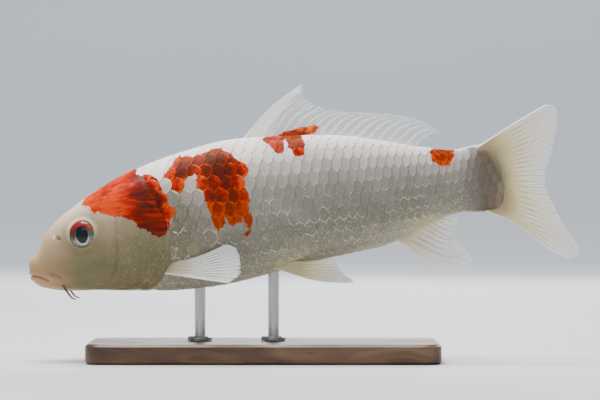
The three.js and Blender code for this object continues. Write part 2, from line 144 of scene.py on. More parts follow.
def ease(value, low, high):
    """0 at low and 1 at high, with a smooth step between."""
    t = np.clip((value - low) / (high - low), 0, 1)
    return t * t * (3 - 2 * t)


def girth_ring(x, inset, count):
    """Points round the body at x, evenly spaced from the belly up the left side, the girth."""
    angle = np.linspace(-math.pi, math.pi, 1441)  # a fine ring first, evened out below
    upper = np.cos(angle) > 0
    inset = inset * ease(x, 0, 1.5)  # none at the very snout
    middle = widest_height(x)
    rise = np.where(upper, back(x) - middle, middle - belly(x)) - inset
    power = 2 / np.where(upper, upper_fullness(x), lower_fullness(x))
    sine, cosine = np.sin(angle), np.cos(angle)
    y = (half_width(x) - inset) * np.sign(sine) * np.abs(sine) ** power
    z = middle + rise * np.sign(cosine) * np.abs(cosine) ** power
    length = np.concatenate([[0], np.cumsum(np.hypot(np.diff(y), np.diff(z)))])
    even = np.arange(count) / count * length[-1]
    ring = [np.full(count, x), sway(x) + np.interp(even, length, y), np.interp(even, length, z)]
    return np.stack(ring, axis=-1), length[-1]


def line_through(points, count=40):
    """A fine line through points spaced evenly along it."""
    at = np.linspace(0, 1, len(points))
    fine = np.linspace(0, 1, count)
    return np.stack([curve_through(list(zip(at, axis)))(fine) for axis in zip(*points)], axis=-1)


def beside(a, b, line):
    """Each point's distance from a line, positive to its left, and the share along it."""
    nearest = np.full(a.shape, 1e9)
    side = np.ones(a.shape)
    share = np.zeros(a.shape)
    for k, (start, end) in enumerate(zip(line[:-1], line[1:])):
        da, db = end - start
        t = np.clip(((a - start[0]) * da + (b - start[1]) * db) / (da * da + db * db), 0, 1)
        off_a, off_b = a - start[0] - t * da, b - start[1] - t * db
        distance = np.hypot(off_a, off_b)
        closer = distance < nearest
        nearest = np.where(closer, distance, nearest)
        side = np.where(closer, np.where(da * off_b - db * off_a < 0, -1, 1), side)
        share = np.where(closer, (k + t) / (len(line) - 1), share)
    return nearest * side, share


# Folds of the head as lines in x and z, each drawn from front to back or from top to bottom
MOUTH_SLIT = line_through([(-1.5, -3.9), (1.5, -4.1), (4.5, -5.1), (6.8, -6.5), (8.6, -8)])
LIP_CREASE = line_through([(3.9, 8), (5.2, 3.5), (6, -0.6), (8.8, -3.6), (12, -5.7), (15.2, -8.2)])
CHIN_CREASE = line_through([(7.8, -7.6), (10, -9.2), (13.5, -10.2), (18, -10.9)])
CHEEK_FOLD = line_through([(41.5, 18), (38.8, 11), (37.6, 3), (36.4, -5), (32.5, -10.8), (25.5, -13)])
HEAD_EDGE = line_through([
    (47.5, 36), (48.6, 31), (50.6, 25), (53.4, 18.5), (56.6, 12), (58.3, 5), (58, -2),
    (55.5, -9), (51, -14.5), (45, -18.2), (36, -20.5),
], 80)
TAIL_EDGE = line_through([(181, 20), (183.2, 16.4), (187, 9.7), (190, 2), (190.2, -5), (187, -11)])
THROAT_FOLD = line_through([(19, 1.4), (27, 3.4), (36, 6.2), (45, 10.4)])  # in x and y
# A fold fades in and out along its line, and is pressed in or raised by bells beside the line,
# each a height, a place off the line and a width
FLANK_FOLDS = [
    (MOUTH_SLIT, (-1, 0), (0.8, 1), [(-0.7, 0, 0.25), (0.3, 1.0, 0.8), (0.3, -1.1, 0.8)]),
    (LIP_CREASE, (0.2, 0.6), (0.8, 1), [(-0.34, 0, 0.42), (0.3, -1.3, 1.1)]),
    (CHIN_CREASE, (0, 0.2), (0.6, 1), [(-0.25, 0, 0.45)]),
    (CHEEK_FOLD, (0, 0.25), (0.75, 1), [(-0.32, 0, 0.8), (0.22, -2.2, 1.8)]),
]
COVER_FADE = (0.26, 0.42), (0.93, 1)  # of the gill cover's edge, along the head's edge
COVER_BELLS = [(-0.16, -2.3, 0.5), (0.12, -0.9, 0.8)]
THROAT = (0, 0.1), (0.9, 1), [(-0.6, 0, 0.5), (0.3, 1.4, 1.0)]
EYE_AT = (24.0, 9.2)
EYE_RADIUS = 5.1  # of the opening that the eye shows through
EYE_SINK = 1.85  # depth of the eyeball's centre
NOSTRIL_AT = (14.3, 8.8)
BARE_INSET = 0.15  # of the bare head skin, under the flesh's outline
COAT_DEPTH = 0.5  # room for the scales over the skin behind the head
HEAD_END = 70  # the head's folds are worked out only in front of this
HEAD_STEP, REAR_STEP = 0.27, 3.2  # from one ring of points to the next
AROUND = 300  # points round the girth
# the painted shade in the head's folds is darkest at this depth
DARKEST_FOLD = 0.8  # depth of a fold that takes the full tint


def width_at(x, z):
    """Half the body's width at x and height z."""
    middle = widest_height(x)
    rise = np.where(z > middle, back(x) - middle, middle - belly(x))
    fullness = np.where(z > middle, upper_fullness(x), lower_fullness(x))
    share = np.clip(np.abs(z - middle) / rise, 0, 1)
    return half_width(x) * (1 - share**fullness) ** (1 / fullness)


eye_x, eye_z = EYE_AT
slope_x = (width_at(eye_x + 1, eye_z) - width_at(eye_x - 1, eye_z)) / 2
slope_z = (width_at(eye_x, eye_z + 1) - width_at(eye_x, eye_z - 1)) / 2
eye_outward = np.array([-slope_x, -1, -slope_z]) / math.hypot(slope_x, 1, slope_z)
eye_centre = np.array([eye_x, -width_at(eye_x, eye_z), eye_z]) - EYE_SINK * eye_outward


def from_eye_axis(x, y, z):
    """Each point's distance from the eye's own axis."""
    off = np.stack([x, -np.abs(y), z], axis=-1) - eye_centre
    return np.linalg.norm(off - (off @ eye_outward)[..., None] * eye_outward, axis=-1)


def presence(along, fade_in, fade_out):
    """1 along a line, eased down to 0 at its two ends."""
    return ease(along, *fade_in) * (1 - ease(along, *fade_out))


def fold_relief(off, along, fade_in, fade_out, bells):
    """The relief of one fold, from each point's distance off its line and share along it."""
    pressed = sum(height * bell(off - at, width) for height, at, width in bells)
    return pressed * presence(along, fade_in, fade_out)


def head_relief(x, y, z):
    """How far the skin stands out of the plain form of the head, in millimetres."""
    out = sum(fold_relief(*beside(x, z, line), *fold) for line, *fold in FLANK_FOLDS)
    edge, along = beside(x, z, HEAD_EDGE)
    sunk = 0.75 - 0.6 * ease(along, 0.62, 0.85)  # the step down behind the gill cover
    step = sunk * ease(edge, -0.1, 0.25) * np.exp(-np.maximum(edge, 0) / 2.6)
    out -= step * presence(along, *COVER_FADE)
    out -= 0.25 * bell(edge + 0.4, 2.4) * ease(along, 0.66, 0.8)  # flatter under the throat
    out += fold_relief(edge, along, *COVER_FADE, COVER_BELLS)
    out += fold_relief(*beside(x, np.abs(y), THROAT_FOLD), *THROAT) * ease(-z, 10.5, 12.5)
    pit_x, pit_z = NOSTRIL_AT
    out -= 1.0 * bell(np.hypot((x - pit_x) / 0.85, (z - pit_z) / 1.15), 0.95)
    out += 0.8 * bell(x - pit_x + 1.6, 0.5) * bell(z - pit_z, 1.15)  # the nostril's flap
    out += 0.25 * bell(np.hypot(x - pit_x, z - pit_z) - 1.4, 0.4)  # and its raised rim
    out -= 0.3 * bell(np.hypot((x - 17.6) / 2.2, (z - 7.5) / 4.5), 1)  # hollow before the eye
    out += 0.35 * bell(np.hypot((x - 30) / 6, (z + 4.5) / 5), 1)  # full cheek
    radius = from_eye_axis(x, y, z)
    out -= 2.8 * (1 - ease(radius, EYE_RADIUS - 0.45, EYE_RADIUS))  # socket, rim and groove
    out += 0.34 * bell(radius - EYE_RADIUS - 0.5, 0.5)
    out -= 0.14 * bell(radius - EYE_RADIUS - 2.3, 0.9)
    return out


def stations_along(head_step, rear_step):
    """Positions along the body, close together on the head and wider apart behind it."""
    fine = np.linspace(0.02, math.sqrt(FLESH_LENGTH), 4000) ** 2
    profile = [fine, back(fine), belly(fine), half_width(fine)]
    dx, up, down, side = (np.diff(values) for values in profile)
    length = np.sqrt(dx**2 + (up**2 + down**2 + side**2) / 2)
    middle = (fine[1:] + fine[:-1]) / 2
    spacing = head_step + (rear_step - head_step) * ease(middle, 56, 76)
    count = np.concatenate([[0], np.cumsum(length / spacing)])
    return np.interp(np.arange(int(count[-1]) + 1), count, fine)


stations = stations_along(HEAD_STEP, REAR_STEP)
rings = [girth_ring(x, BARE_INSET, AROUND) for x in stations]
form = np.stack([ring for ring, girth in rings])
girths = np.array([girth for ring, girth in rings])
along_form = np.gradient(form, axis=0)
round_form = np.roll(form, -1, axis=1) - np.roll(form, 1, axis=1)
outward = np.cross(along_form, round_form)
outward /= np.linalg.norm(outward, axis=-1, keepdims=True)
x, y, z = np.moveaxis(form, -1, 0)
on_head = stations < HEAD_END
relief = np.zeros(x.shape)
relief[on_head] = head_relief(x[on_head], y[on_head], z[on_head])
# painted shade in the head's folds, by how far the skin is pressed in
fold_shading = np.clip(-relief / DARKEST_FOLD, 0, 1)
lip_tint = np.zeros(x.shape)
lip_tint[on_head] = bell(beside(x[on_head], z[on_head], MOUTH_SLIT)[0], 1.5)
lip_tint[on_head] += 0.35 * bell(beside(x[on_head], z[on_head], LIP_CREASE)[0], 1.1)
lip_tint[on_head] *= ease(z[on_head], 4, -2)
nostril_flap = bell(x - NOSTRIL_AT[0] + 1.6, 0.7) * bell(z - NOSTRIL_AT[1], 1.2)
bareness = np.full(x.shape, 9.0)
edge, down_edge = beside(x[on_head], z[on_head], HEAD_EDGE)
blurred = 1.8 * ease(down_edge, 0.34, 0.14) + 2.2 * ease(down_edge, 0.78, 0.95)
bareness[on_head] = edge / (1 + blurred)  # softer over the nape and the throat
# a pale rim round the upper side of each eye socket: partly pale skin, partly painted highlight from the
# light above
eyelid = np.zeros(x.shape)
eyelid[on_head] = from_eye_axis(x[on_head], y[on_head], z[on_head]) - EYE_RADIUS
eyelid[on_head] = bell(eyelid[on_head] - 0.8, 0.9) * ease(z[on_head], 5, 12)
sinking = np.minimum(bareness, -beside(x, z, TAIL_EDGE)[0] / 3)  # where the scales end
relief -= (COAT_DEPTH - BARE_INSET) * ease(sinking, -0.1, 0.8)
form += relief[..., None] * outward
form[..., 0] += 0.06 * ease(x, 6, 0)  # the lips stay behind the flesh's foremost point


def new_object(name, points, faces):
    """A smooth-shaded mesh object from points in metres."""
    mesh = bpy.data.meshes.new(name)
    mesh.from_pydata(np.asarray(points).reshape(-1, 3).tolist(), [], faces)
    mesh.polygons.foreach_set("use_smooth", [True] * len(mesh.polygons))
    mesh.update()
    made = bpy.data.objects.new(name, mesh)
    bpy.context.scene.collection.objects.link(made)
    return made


def give(mesh, **fields):
    """A number or a vector for each vertex, kept on the mesh under its field's name."""
    for name, values in fields.items():
        values = np.asarray(values, np.float32)
        kind, part = ("FLOAT", "value") if values.ndim == 1 else ("FLOAT_VECTOR", "vector")
        mesh.attributes.new(name, kind, "POINT").data.foreach_set(part, values.ravel())


def give_uv(mesh, name, corner_uv):
    """A map of the mesh, with a place for each face corner."""
    layer = mesh.uv_layers.new(name=name)
    layer.data.foreach_set("uv", np.asarray(corner_uv, np.float32).ravel())


def corner_vertices(mesh):
    """Which vertex each face corner stands on."""
    found = np.empty(len(mesh.loops), np.int64)
    mesh.loops.foreach_get("vertex_index", found)
    return found


def ring_faces(rings, around, tips=False):
    """Quads between closed rings of points, and fans to two tips that follow the rings."""
    faces = []
    for i in range(rings - 1):
        for j in range(around):
            k = (j + 1) % around
            a, b = i * around, (i + 1) * around
            faces.append((a + j, b + j, b + k, a + k))
    if tips:
        first_tip, last = rings * around, (rings - 1) * around
        for j in range(around):
            k = (j + 1) % around
            faces.append((first_tip, j, k))
            faces.append((first_tip + 1, last + k, last + j))
    return faces


count = len(stations)
tips = np.stack([form[0].mean(axis=0), form[-1].mean(axis=0)])
skin_points = np.concatenate([form.reshape(-1, 3), tips])
skin = new_object("skin", placed(skin_points), ring_faces(count, AROUND, tips=True))

# Where each point lies: x along, down the flank from the ridge (left positive, right negative);
# each list of two is for the tips, one deep in the bare head and one past the scales
share_round = np.tile(np.arange(AROUND) / AROUND, (count, 1))
down = (0.5 - share_round) * girths[:, None]
rise = 1 - np.abs(1 - 2 * share_round)  # 0 on the belly, 1 on the ridge
skin_along = np.append(np.repeat(stations, AROUND), [0, FLESH_LENGTH])
skin_down = np.append(down, [0, 0])
skin_rise = np.append(rise, [0.5, 0.5])
skin_bare = np.append(bareness, [-40, 9])

# Red patches, as closed outlines of x along and millimetres down from the ridge
RED_PATCHES = {
    "nape": [
        (25.5, 8), (28, 0), (29, -6), (34, -13), (41, -17), (45, -24), (51, -29), (56, -26),
        (57, -18), (53, -12), (51, -5), (49.5, 3), (48.6, 9), (52, 11.5), (56.8, 14), (58.8, 20),
        (59.6, 28), (61.4, 31), (58.6, 33), (57.6, 38), (54, 39), (51, 35.5), (47.5, 32),
        (44.5, 27.5), (38, 22.5), (33.3, 18.5), (29.7, 15.3),
    ],
    "shoulder": [
        (67, 5), (69.5, 9.5), (74, 9.5), (73.5, 15), (70, 20), (67, 20.5), (64.5, 25.5),
        (62.8, 24), (63, 20), (60.5, 17), (63, 12.5),
    ],
    "saddle": [
        (73, 10), (77, 8.2), (83.5, 8.4), (87, 11), (88, 15), (91, 18), (92.8, 22), (90, 27),
        (91.3, 34), (91.6, 40), (90.2, 46.2), (88, 42.5), (87.1, 35.8), (85.7, 35.2), (85.2, 41),
        (83.5, 44.6), (81.7, 40.5), (81, 35.6), (80, 36.2), (79.6, 41), (78, 45.4), (76.4, 39),
        (74.4, 32), (72.6, 24), (72.8, 16),
    ],
    "saddle_spot": [(86.4, 44.9), (88.1, 46.5), (86.9, 48.9), (85, 47)],
    "fin_root": [
        (100.5, 6), (104, 1.5), (107, -2), (114, -6), (122, -4.5), (124.5, 0), (119, 2.4),
        (115, 3.6), (116.5, 10), (115.6, 16), (112, 16.5), (110.5, 10), (109.8, 5), (107, 5.4),
        (108, 12), (107.8, 17.5), (105.3, 14.5), (103, 10),
    ],
    "tail_root": [
        (167, 2.5), (168, -2), (170, -6), (174, -5), (175.8, -1), (175.4, 2.5), (173.8, 6),
        (172.4, 9.2), (169.5, 10.4), (165.5, 8.8), (165.6, 5.5),
    ],
    "right_saddle": [
        (68, -7), (76, -4.5), (84, -6), (89, -11), (91.5, -19), (88, -27), (89.5, -34),
        (86, -40), (82.5, -35), (79.5, -41), (76, -36), (75, -29), (70.5, -25), (66, -27.5),
        (64, -21), (66.5, -14),
    ],
    "right_loin": [
        (128, -9), (135, -6.5), (142, -8.5), (144, -14), (140, -19.5), (136, -18), (132.5, -22),
        (129, -17),
    ],
}


def within(a, b, loop):
    """Each point's depth inside a closed outline, negative outside it."""
    corners = np.array(loop, float)
    nearest = np.full(a.shape, 1e9)
    inside = np.zeros(a.shape, bool)
    for start, end in zip(corners, np.roll(corners, -1, axis=0)):
        da, db = end - start
        t = np.clip(((a - start[0]) * da + (b - start[1]) * db) / (da * da + db * db), 0, 1)
        nearest = np.minimum(nearest, np.hypot(a - start[0] - t * da, b - start[1] - t * db))
        crosses = (start[1] > b) != (end[1] > b)
        if db:
            inside ^= crosses & (a < start[0] + (b - start[1]) * da / db)
    return np.where(inside, nearest, -nearest)


def redness(along, down):
    """Depth inside the red patches, negative outside them all."""
    return np.max([within(along, down, loop) for loop in RED_PATCHES.values()], axis=0)


FIN_FEET = [(59.5, -5, 8, 5), (101, -16.5, 7, 4), (156, -11, 9, 4)]  # x, z, length and height


def tan_near_feet(x, z):
    """How tan the skin is round the feet of the lower fins, in their x and z."""
    return np.max([bell(np.hypot((x - a) / c, (z - b) / d), 1) for a, b, c, d in FIN_FEET], axis=0)


skin_out = np.concatenate([outward.reshape(-1, 3), [[-1, 0, 0], [1, 0, 0]]])
give(
    skin.data, red=redness(skin_along, skin_down), along=skin_along, rise=skin_rise, bare=skin_bare,
    tan=tan_near_feet(skin_points[:, 0], skin_points[:, 2]), skin_out=turned(skin_out),
    fold=np.append(fold_shading, [0, 0]), lip=np.append(lip_tint, [1, 0]),
    flap=np.append(nostril_flap, [0, 0]), eyelid=np.append(eyelid, [0, 0]),
)

# The skin's unwrap: along the body one way and round it the other, slit down the belly
corners = corner_vertices(skin.data)
round_share = np.append(share_round, [0.5, 0.5])[corners]
step_along = np.append(np.repeat(np.arange(count), AROUND) + 1, [0, count])[corners] / count
quads = 4 * (count - 1) * AROUND
seam = round_share[:quads].reshape(-1, 4)
seam[(seam.max(axis=1) > 0.9)[:, None] & (seam < 0.1)] = 1.0
fans = round_share[quads:].reshape(-1, 3)
fans[(fans.max(axis=1) > 0.9)[:, None] & (fans < 0.1)] = 1.0
unwrap = np.stack([step_along, np.concatenate([seam.ravel(), fans.ravel()])], axis=-1)
give_uv(skin.data, "OFBake", 0.005 + 0.99 * unwrap)


def node(tree, kind, inputs=None, **settings):
    """A new node with its settings made, and each input given a value or linked to a socket."""
    made = tree.nodes.new(kind)
    for key, value in settings.items():
        setattr(made, key, value)
    for key, value in (inputs or {}).items():
        if isinstance(value, bpy.types.NodeSocket):
            tree.links.new(value, made.inputs[key])
        else:
            made.inputs[key].default_value = value
    return made


def maths(tree, operation, a, b=0.0, clamp=False):
    return node(tree, "ShaderNodeMath", {0: a, 1: b}, operation=operation, use_clamp=clamp).outputs[0]


def times(tree, a, b):
    return maths(tree, "MULTIPLY", a, b)


def plus(tree, a, b, clamp=False):
    return maths(tree, "ADD", a, b, clamp)


def minus(tree, a, b, clamp=False):
    return maths(tree, "SUBTRACT", a, b, clamp)


def spread(tree, value, low, high, to_low=0.0, to_high=1.0):
    """A value eased from one range into another."""
    inputs = {0: value, 1: low, 2: high, 3: to_low, 4: to_high}
    return node(tree, "ShaderNodeMapRange", inputs, interpolation_type="SMOOTHSTEP").outputs[0]


def blend(tree, share, a, b, kind="MIX"):
    """One colour over another by a share; a plain colour is red, green and blue."""
    inputs = {0: share, 6: a, 7: (*b, 1.0) if isinstance(b, tuple) else b}
    made = node(tree, "ShaderNodeMix", inputs, data_type="RGBA", blend_type=kind)
    return made.outputs[2]


def layered(tree, colour, *layers):
    """A colour with others laid over it in turn, each as its share and the colour."""
    for share, over in layers:
        colour = blend(tree, share, colour, over)
    return colour


def ramp(tree, value, stops):
    """Colours along a value, as (place, colour) stops."""
    made = node(tree, "ShaderNodeValToRGB", {0: value})
    band = made.color_ramp.elements
    while len(band) < len(stops):
        band.new(1.0)
    for element, (place, colour) in zip(band, stops):
        element.position = place
        element.color = (*colour, 1.0)
    return made.outputs[0]


def attribute(tree, name):
    """A number kept on the mesh."""
    return node(tree, "ShaderNodeAttribute", attribute_name=name).outputs[2]


def object_noise(tree, scale, detail=3.0, stretch=(1.0, 1.0, 1.0), roughness=0.5):
    """Noise over the object's own space, with its features scale to the metre."""
    place = node(tree, "ShaderNodeTexCoord").outputs["Object"]
    place = node(tree, "ShaderNodeMapping", {0: place, 3: stretch}).outputs[0]
    inputs = {"Vector": place, "Scale": scale, "Detail": detail, "Roughness": roughness}
    return node(tree, "ShaderNodeTexNoise", inputs).outputs[0]


def uneven(tree, height, *noise):
    """Noise about nought, of the height given from its lowest to its highest."""
    return times(tree, minus(tree, object_noise(tree, *noise), 0.5), height)


def new_material(name, **constants):
    """A material with one Principled shader, its plain numbers set on its own sockets."""
    made = bpy.data.materials.new(name)
    made.use_nodes = True
    shader = made.node_tree.nodes["Principled BSDF"]
    for key, value in constants.items():
        shader.inputs[key.replace("_", " ")].default_value = value
    return made, made.node_tree, shader


def feed(tree, shader, **sources):
    """Links a shader's inputs to the sockets that make them."""
    for key, value in sources.items():
        tree.links.new(value, shader.inputs[key.replace("_", " ")])


def relief_of(tree, height, strength, distance):
    """A surface's fine relief from a height."""
    inputs = {"Strength": strength, "Distance": distance, "Height": height}
    return node(tree, "ShaderNodeBump", inputs).outputs[0]


def new_group(name, inputs, outputs):
    """A shader node group with float inputs, and outputs of the kinds given."""
    group = bpy.data.node_groups.new(name, "ShaderNodeTree")
    for label, value in inputs.items():
        socket = group.interface.new_socket(label, in_out="INPUT", socket_type="NodeSocketFloat")
        socket.default_value = value
    for label, kind in outputs.items():
        group.interface.new_socket(label, in_out="OUTPUT", socket_type=kind)
    return group, group.nodes.new("NodeGroupInput"), group.nodes.new("NodeGroupOutput")


# The koi's two grounds, shared by skin and scales: pearl white, lightest on the back, olive low on
# the flank and paler again at the belly, partly its own tint and partly painted light and shade; and
# the red of the patches, orange at its edges and blood red in its depth
PEARL_AND_SHADE_BY_RISE = [
    (0.0, (0.50, 0.46, 0.31)), (0.07, (0.38, 0.35, 0.235)), (0.16, (0.26, 0.25, 0.17)),
    (0.34, (0.205, 0.205, 0.155)), (0.52, (0.27, 0.262, 0.22)), (0.66, (0.47, 0.445, 0.41)),
    (0.80, (0.86, 0.80, 0.775)), (1.0, (0.97, 0.92, 0.89)),
]
RED_BY_DEPTH = [
    (0.0, (0.66, 0.065, 0.003)), (0.25, (0.50, 0.024, 0.003)), (0.5, (0.30, 0.012, 0.003)),
    (0.75, (0.15, 0.014, 0.006)), (1.0, (0.075, 0.013, 0.008)),
]
DUSK = (0.15, 0.12, 0.112)  # smoky end of the tail root
TAIL_JOIN_DARK = (0.165, 0.115, 0.072)  # where the last scales meet the tail fin
TAIL_CREAM = (0.40, 0.345, 0.20)
FIN_FOOT_TAN = (0.70, 0.61, 0.31)  # round the feet of the paired fins
LILAC, HALO_PINK = (0.66, 0.52, 0.56), (0.56, 0.27, 0.22)  # in clouds on the white, and round red
AMBER, UMBER = (0.20, 0.036, 0.001), (0.20, 0.045, 0.008)  # in the reds, high and low on the flank

coat_group, given, result = new_group(
    "koi_colours",
    {"Rise": 0.5, "Along": 80.0, "Red": -9.0, "Ragged": 1.0, "Depth": 0.5, "Tan": 0.0},
    {
        "Shaded_pearl": "NodeSocketColor", "Blood": "NodeSocketColor", "Patch": "NodeSocketFloat",
        "Dusk": "NodeSocketFloat",
    },
)
tree = coat_group
rise_at, along_at, red_at = (given.outputs[label] for label in ("Rise", "Along", "Red"))
blotch = object_noise(tree, 90.0)
lilac = spread(tree, object_noise(tree, 55.0), 0.5, 0.72, 0.0, 0.22)
halo = spread(tree, object_noise(tree, 75.0), 0.44, 0.6, 0.0, 0.36)
halo = times(tree, halo, spread(tree, red_at, -5.5, 0.0))
tan = times(tree, given.outputs["Tan"], spread(tree, blotch, 0.3, 0.7, 0.35, 0.75))
off_middle = minus(tree, rise_at, 0.45)
rearward = plus(tree, along_at, times(tree, times(tree, off_middle, off_middle), 16.0))
off_middle = maths(tree, "ABSOLUTE", off_middle)
dusk = spread(tree, plus(tree, rearward, times(tree, blotch, 8.0)), 176.0, 190.0, 0.0, 0.92)
dusk = times(tree, dusk, spread(tree, off_middle, 0.5, 0.38))
# darker where the last scales meet the tail fin
tail_join_dark = spread(tree, plus(tree, rearward, times(tree, blotch, 5.0)), 183.5, 191.0, 0.0, 0.85)
tail_join_dark = times(tree, tail_join_dark, spread(tree, off_middle, 0.54, 0.44))
cream = spread(tree, rearward, 190.0, 194.8)
rise_here = plus(tree, times(tree, minus(tree, blotch, 0.5), 0.12), rise_at, clamp=True)
# the white ground by rise is partly its own tint and partly painted light and shade: lit on the back,
# shaded low on the flank, lit again at the belly
shaded_pearl = layered(
    tree, ramp(tree, rise_here, PEARL_AND_SHADE_BY_RISE), (lilac, LILAC), (halo, HALO_PINK),
    (tan, FIN_FOOT_TAN), (dusk, DUSK), (tail_join_dark, TAIL_JOIN_DARK), (cream, TAIL_CREAM),
)
amber = spread(tree, object_noise(tree, 260.0), 0.4, 0.6, 0.35, 0.9)
amber = times(tree, amber, spread(tree, rise_at, 0.7, 0.95))
amber = times(tree, amber, spread(tree, along_at, 54.0, 66.0))
umber = spread(tree, rise_at, 0.68, 0.38, 0.0, 0.62)
umber = times(tree, umber, spread(tree, along_at, 62.0, 76.0))
blood = ramp(tree, given.outputs["Depth"], RED_BY_DEPTH)
blood = layered(tree, blood, (amber, AMBER), (umber, UMBER))
fray = times(tree, uneven(tree, 3.0, 620.0, 2.0), given.outputs["Ragged"])
patch = spread(tree, plus(tree, red_at, fray), -0.12, 0.14)
for label, socket in {"Shaded_pearl": shaded_pearl, "Blood": blood, "Patch": patch, "Dusk": dusk}.items():
    tree.links.new(socket, result.inputs[label])

# Head skin: cream forehead, warm snout and lips, olive cheek with painted shade low down, painted
# shade in the folds, a pale rim over each eye partly painted highlight, and orange-red brushwork on
# the nape with painted highlights along its streaks
# the cheek by rise round the head: lightest on the forehead, darkest low on the side of the head and
# paler under the chin, partly olive of its own and partly painted shade
CHEEK_AND_SHADE_BY_RISE = [
    (0.0, (0.32, 0.255, 0.15)), (0.12, (0.19, 0.162, 0.09)), (0.32, (0.165, 0.146, 0.076)),
    (0.48, (0.22, 0.19, 0.105)), (0.62, (0.39, 0.32, 0.21)), (0.76, (0.60, 0.485, 0.37)),
    (1.0, (0.76, 0.62, 0.50)),
]
WARM_SNOUT, WARM_LIP, FRECKLE_ORANGE = (0.44, 0.28, 0.145), (0.48, 0.28, 0.155), (0.72, 0.42, 0.18)
# the first of these is painted shade in the head's folds, the last a pale rim over each eye that is
# partly painted highlight
FOLD_SHADE, FLAP_PINK, EYELID_HIGHLIGHT = (0.16, 0.085, 0.045), (0.82, 0.60, 0.46), (0.84, 0.66, 0.54)
# the last of these is a lighter red for the nape's streaks, partly their own colour and partly painted
# highlight
SPECKLE_CREAM, NAPE_HIGHLIGHT = (0.62, 0.55, 0.38), (0.72, 0.045, 0.018)

hide, tree, shader = new_material(
    "koi_skin", Roughness=0.4, Coat_Weight=0.04, Coat_Roughness=0.08, Specular_IOR_Level=0.06,
    Subsurface_Weight=0.12, Subsurface_Radius=(1.0, 0.5, 0.3), Subsurface_Scale=0.0015,
)
rise_at, along_at, red_at = (attribute(tree, name) for name in ("rise", "along", "red"))
streak = object_noise(tree, 700.0, 4.0, (0.13, 1.0, 1.0), 0.55)
blush = object_noise(tree, 150.0, 3.0, (0.5, 1.0, 1.0))
rear = minus(tree, along_at, times(tree, rise_at, 14.0))
rear = spread(tree, rear, 26.0, 43.0, 0.04, 0.62)
depth = plus(tree, times(tree, red_at, 0.016), spread(tree, streak, 0.36, 0.64, -0.10, 0.20))
depth = plus(tree, depth, spread(tree, blush, 0.35, 0.65, -0.16, 0.16))
depth = plus(tree, depth, rear, clamp=True)
markings = {"Rise": rise_at, "Along": along_at, "Depth": depth, "Ragged": 1.1}
markings.update({"Red": red_at, "Tan": attribute(tree, "tan")})
coat = node(tree, "ShaderNodeGroup", markings, node_tree=coat_group)
mottle = uneven(tree, 0.34, 85.0, 4.0)
# olive cheek with painted shade low on the head
shaded_cheek = ramp(tree, plus(tree, rise_at, mottle, clamp=True), CHEEK_AND_SHADE_BY_RISE)
snout = spread(tree, along_at, 22.0, 4.0, 0.0, 0.85)
freckle = spread(tree, object_noise(tree, 300.0, 1.0), 0.62, 0.76, 0.0, 0.22)
freckle = times(tree, freckle, spread(tree, along_at, 20.0, 30.0))
lips = spread(tree, object_noise(tree, 500.0), 0.3, 0.7, 0.5, 0.9)
lips = times(tree, attribute(tree, "lip"), lips)
# painted shade in the folds
fold = times(tree, attribute(tree, "fold"), 0.4)
flap = times(tree, attribute(tree, "flap"), 0.85)
# pale rim over each eye: partly pale skin, partly painted highlight
eyelid = times(tree, attribute(tree, "eyelid"), 0.45)
speckle = spread(tree, object_noise(tree, 1700.0, 2.0, (1.3, 1.0, 0.6)), 0.52, 0.72, 0.0, 0.26)
speckle = times(tree, speckle, spread(tree, along_at, 26.0, 44.0, 0.25, 1.0))
behind_edge = spread(tree, attribute(tree, "bare"), -0.4, 0.6)
# lighter red along the nape's streaks, most at its front: partly the brushwork's own light streaks,
# partly painted highlight
streak_highlight = minus(tree, 0.5, times(tree, rear, 0.55))
streak_highlight = times(tree, streak_highlight, spread(tree, streak, 0.48, 0.38))
blood = blend(tree, streak_highlight, coat.outputs["Blood"], NAPE_HIGHLIGHT)
colour = layered(
    tree, shaded_cheek, (snout, WARM_SNOUT), (freckle, FRECKLE_ORANGE), (lips, WARM_LIP),
    (fold, FOLD_SHADE), (flap, FLAP_PINK), (eyelid, EYELID_HIGHLIGHT), (speckle, SPECKLE_CREAM),
    (behind_edge, coat.outputs["Shaded_pearl"]), (coat.outputs["Patch"], blood),
)
pores = object_noise(tree, 1600.0, 2.0)
wrinkles = object_noise(tree, 420.0, 3.0)
height = plus(tree, times(tree, pores, 0.4), wrinkles)
wetness = spread(tree, pores, 0.3, 0.7, 0.32, 0.48)
feed(tree, shader, Base_Color=colour, Roughness=wetness, Normal=relief_of(tree, height, 0.18, 0.0003))
skin.data.materials.append(hide)
flesh = ["head", "upper_jaw", "lower_jaw", "gill_cover_left", "gill_cover_right"]
flesh += ["trunk_front", "trunk_rear", "tail_stalk"]
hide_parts(*flesh)
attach(skin, "root")

# ---- Scales
# Round overlapping scales, set in rows along the flanks from the gill covers to the root of
# the tail. Each is a thin bony plate under clear skin, with its front end buried and its rear
# rim free over the front of the next one.
PITCH_ALONG = curve_through([(45, 5.1), (60, 5), (110, 4.1), (150, 3.35), (170, 3), (195, 2.9)])
ROW_HEIGHT = curve_through([(45, 5.3), (60, 5.4), (110, 5.1), (150, 4.5), (170, 4.2), (195, 4)])
LATERAL_LINE = curve_through([(45, 13), (56, 12), (90, 8), (139, 4.7), (172, 3.3), (195, 4)])
SCALES_FROM, SCALES_TO = 42.0, 193.0
SCALES_UNDER_HEAD = 3.4  # how far the first scales' middles lie in front of the head's edge
PLATE_COLUMNS = 10
PLATE_STEPS = (0.0, 0.4, 0.74, 0.94, 1.0)  # share of the way from the front end to the rim
PLATE_FRONT, PLATE_REAR = -1.15, 1.05  # its ends from its middle, in pitches
PLATE_SIDE = 0.73  # half its width, in row heights
PLATE_THICKNESS = 0.065
RIM_LIFT, FRONT_SINK, SIDE_DROP = 0.34, 0.08, 0.11
ROWS = range(-9, 12)  # from the lateral line, those above it negative
RIDGE_ROW, BELLY_ROW = -10, 12  # single rows along the middle of the back and of the belly
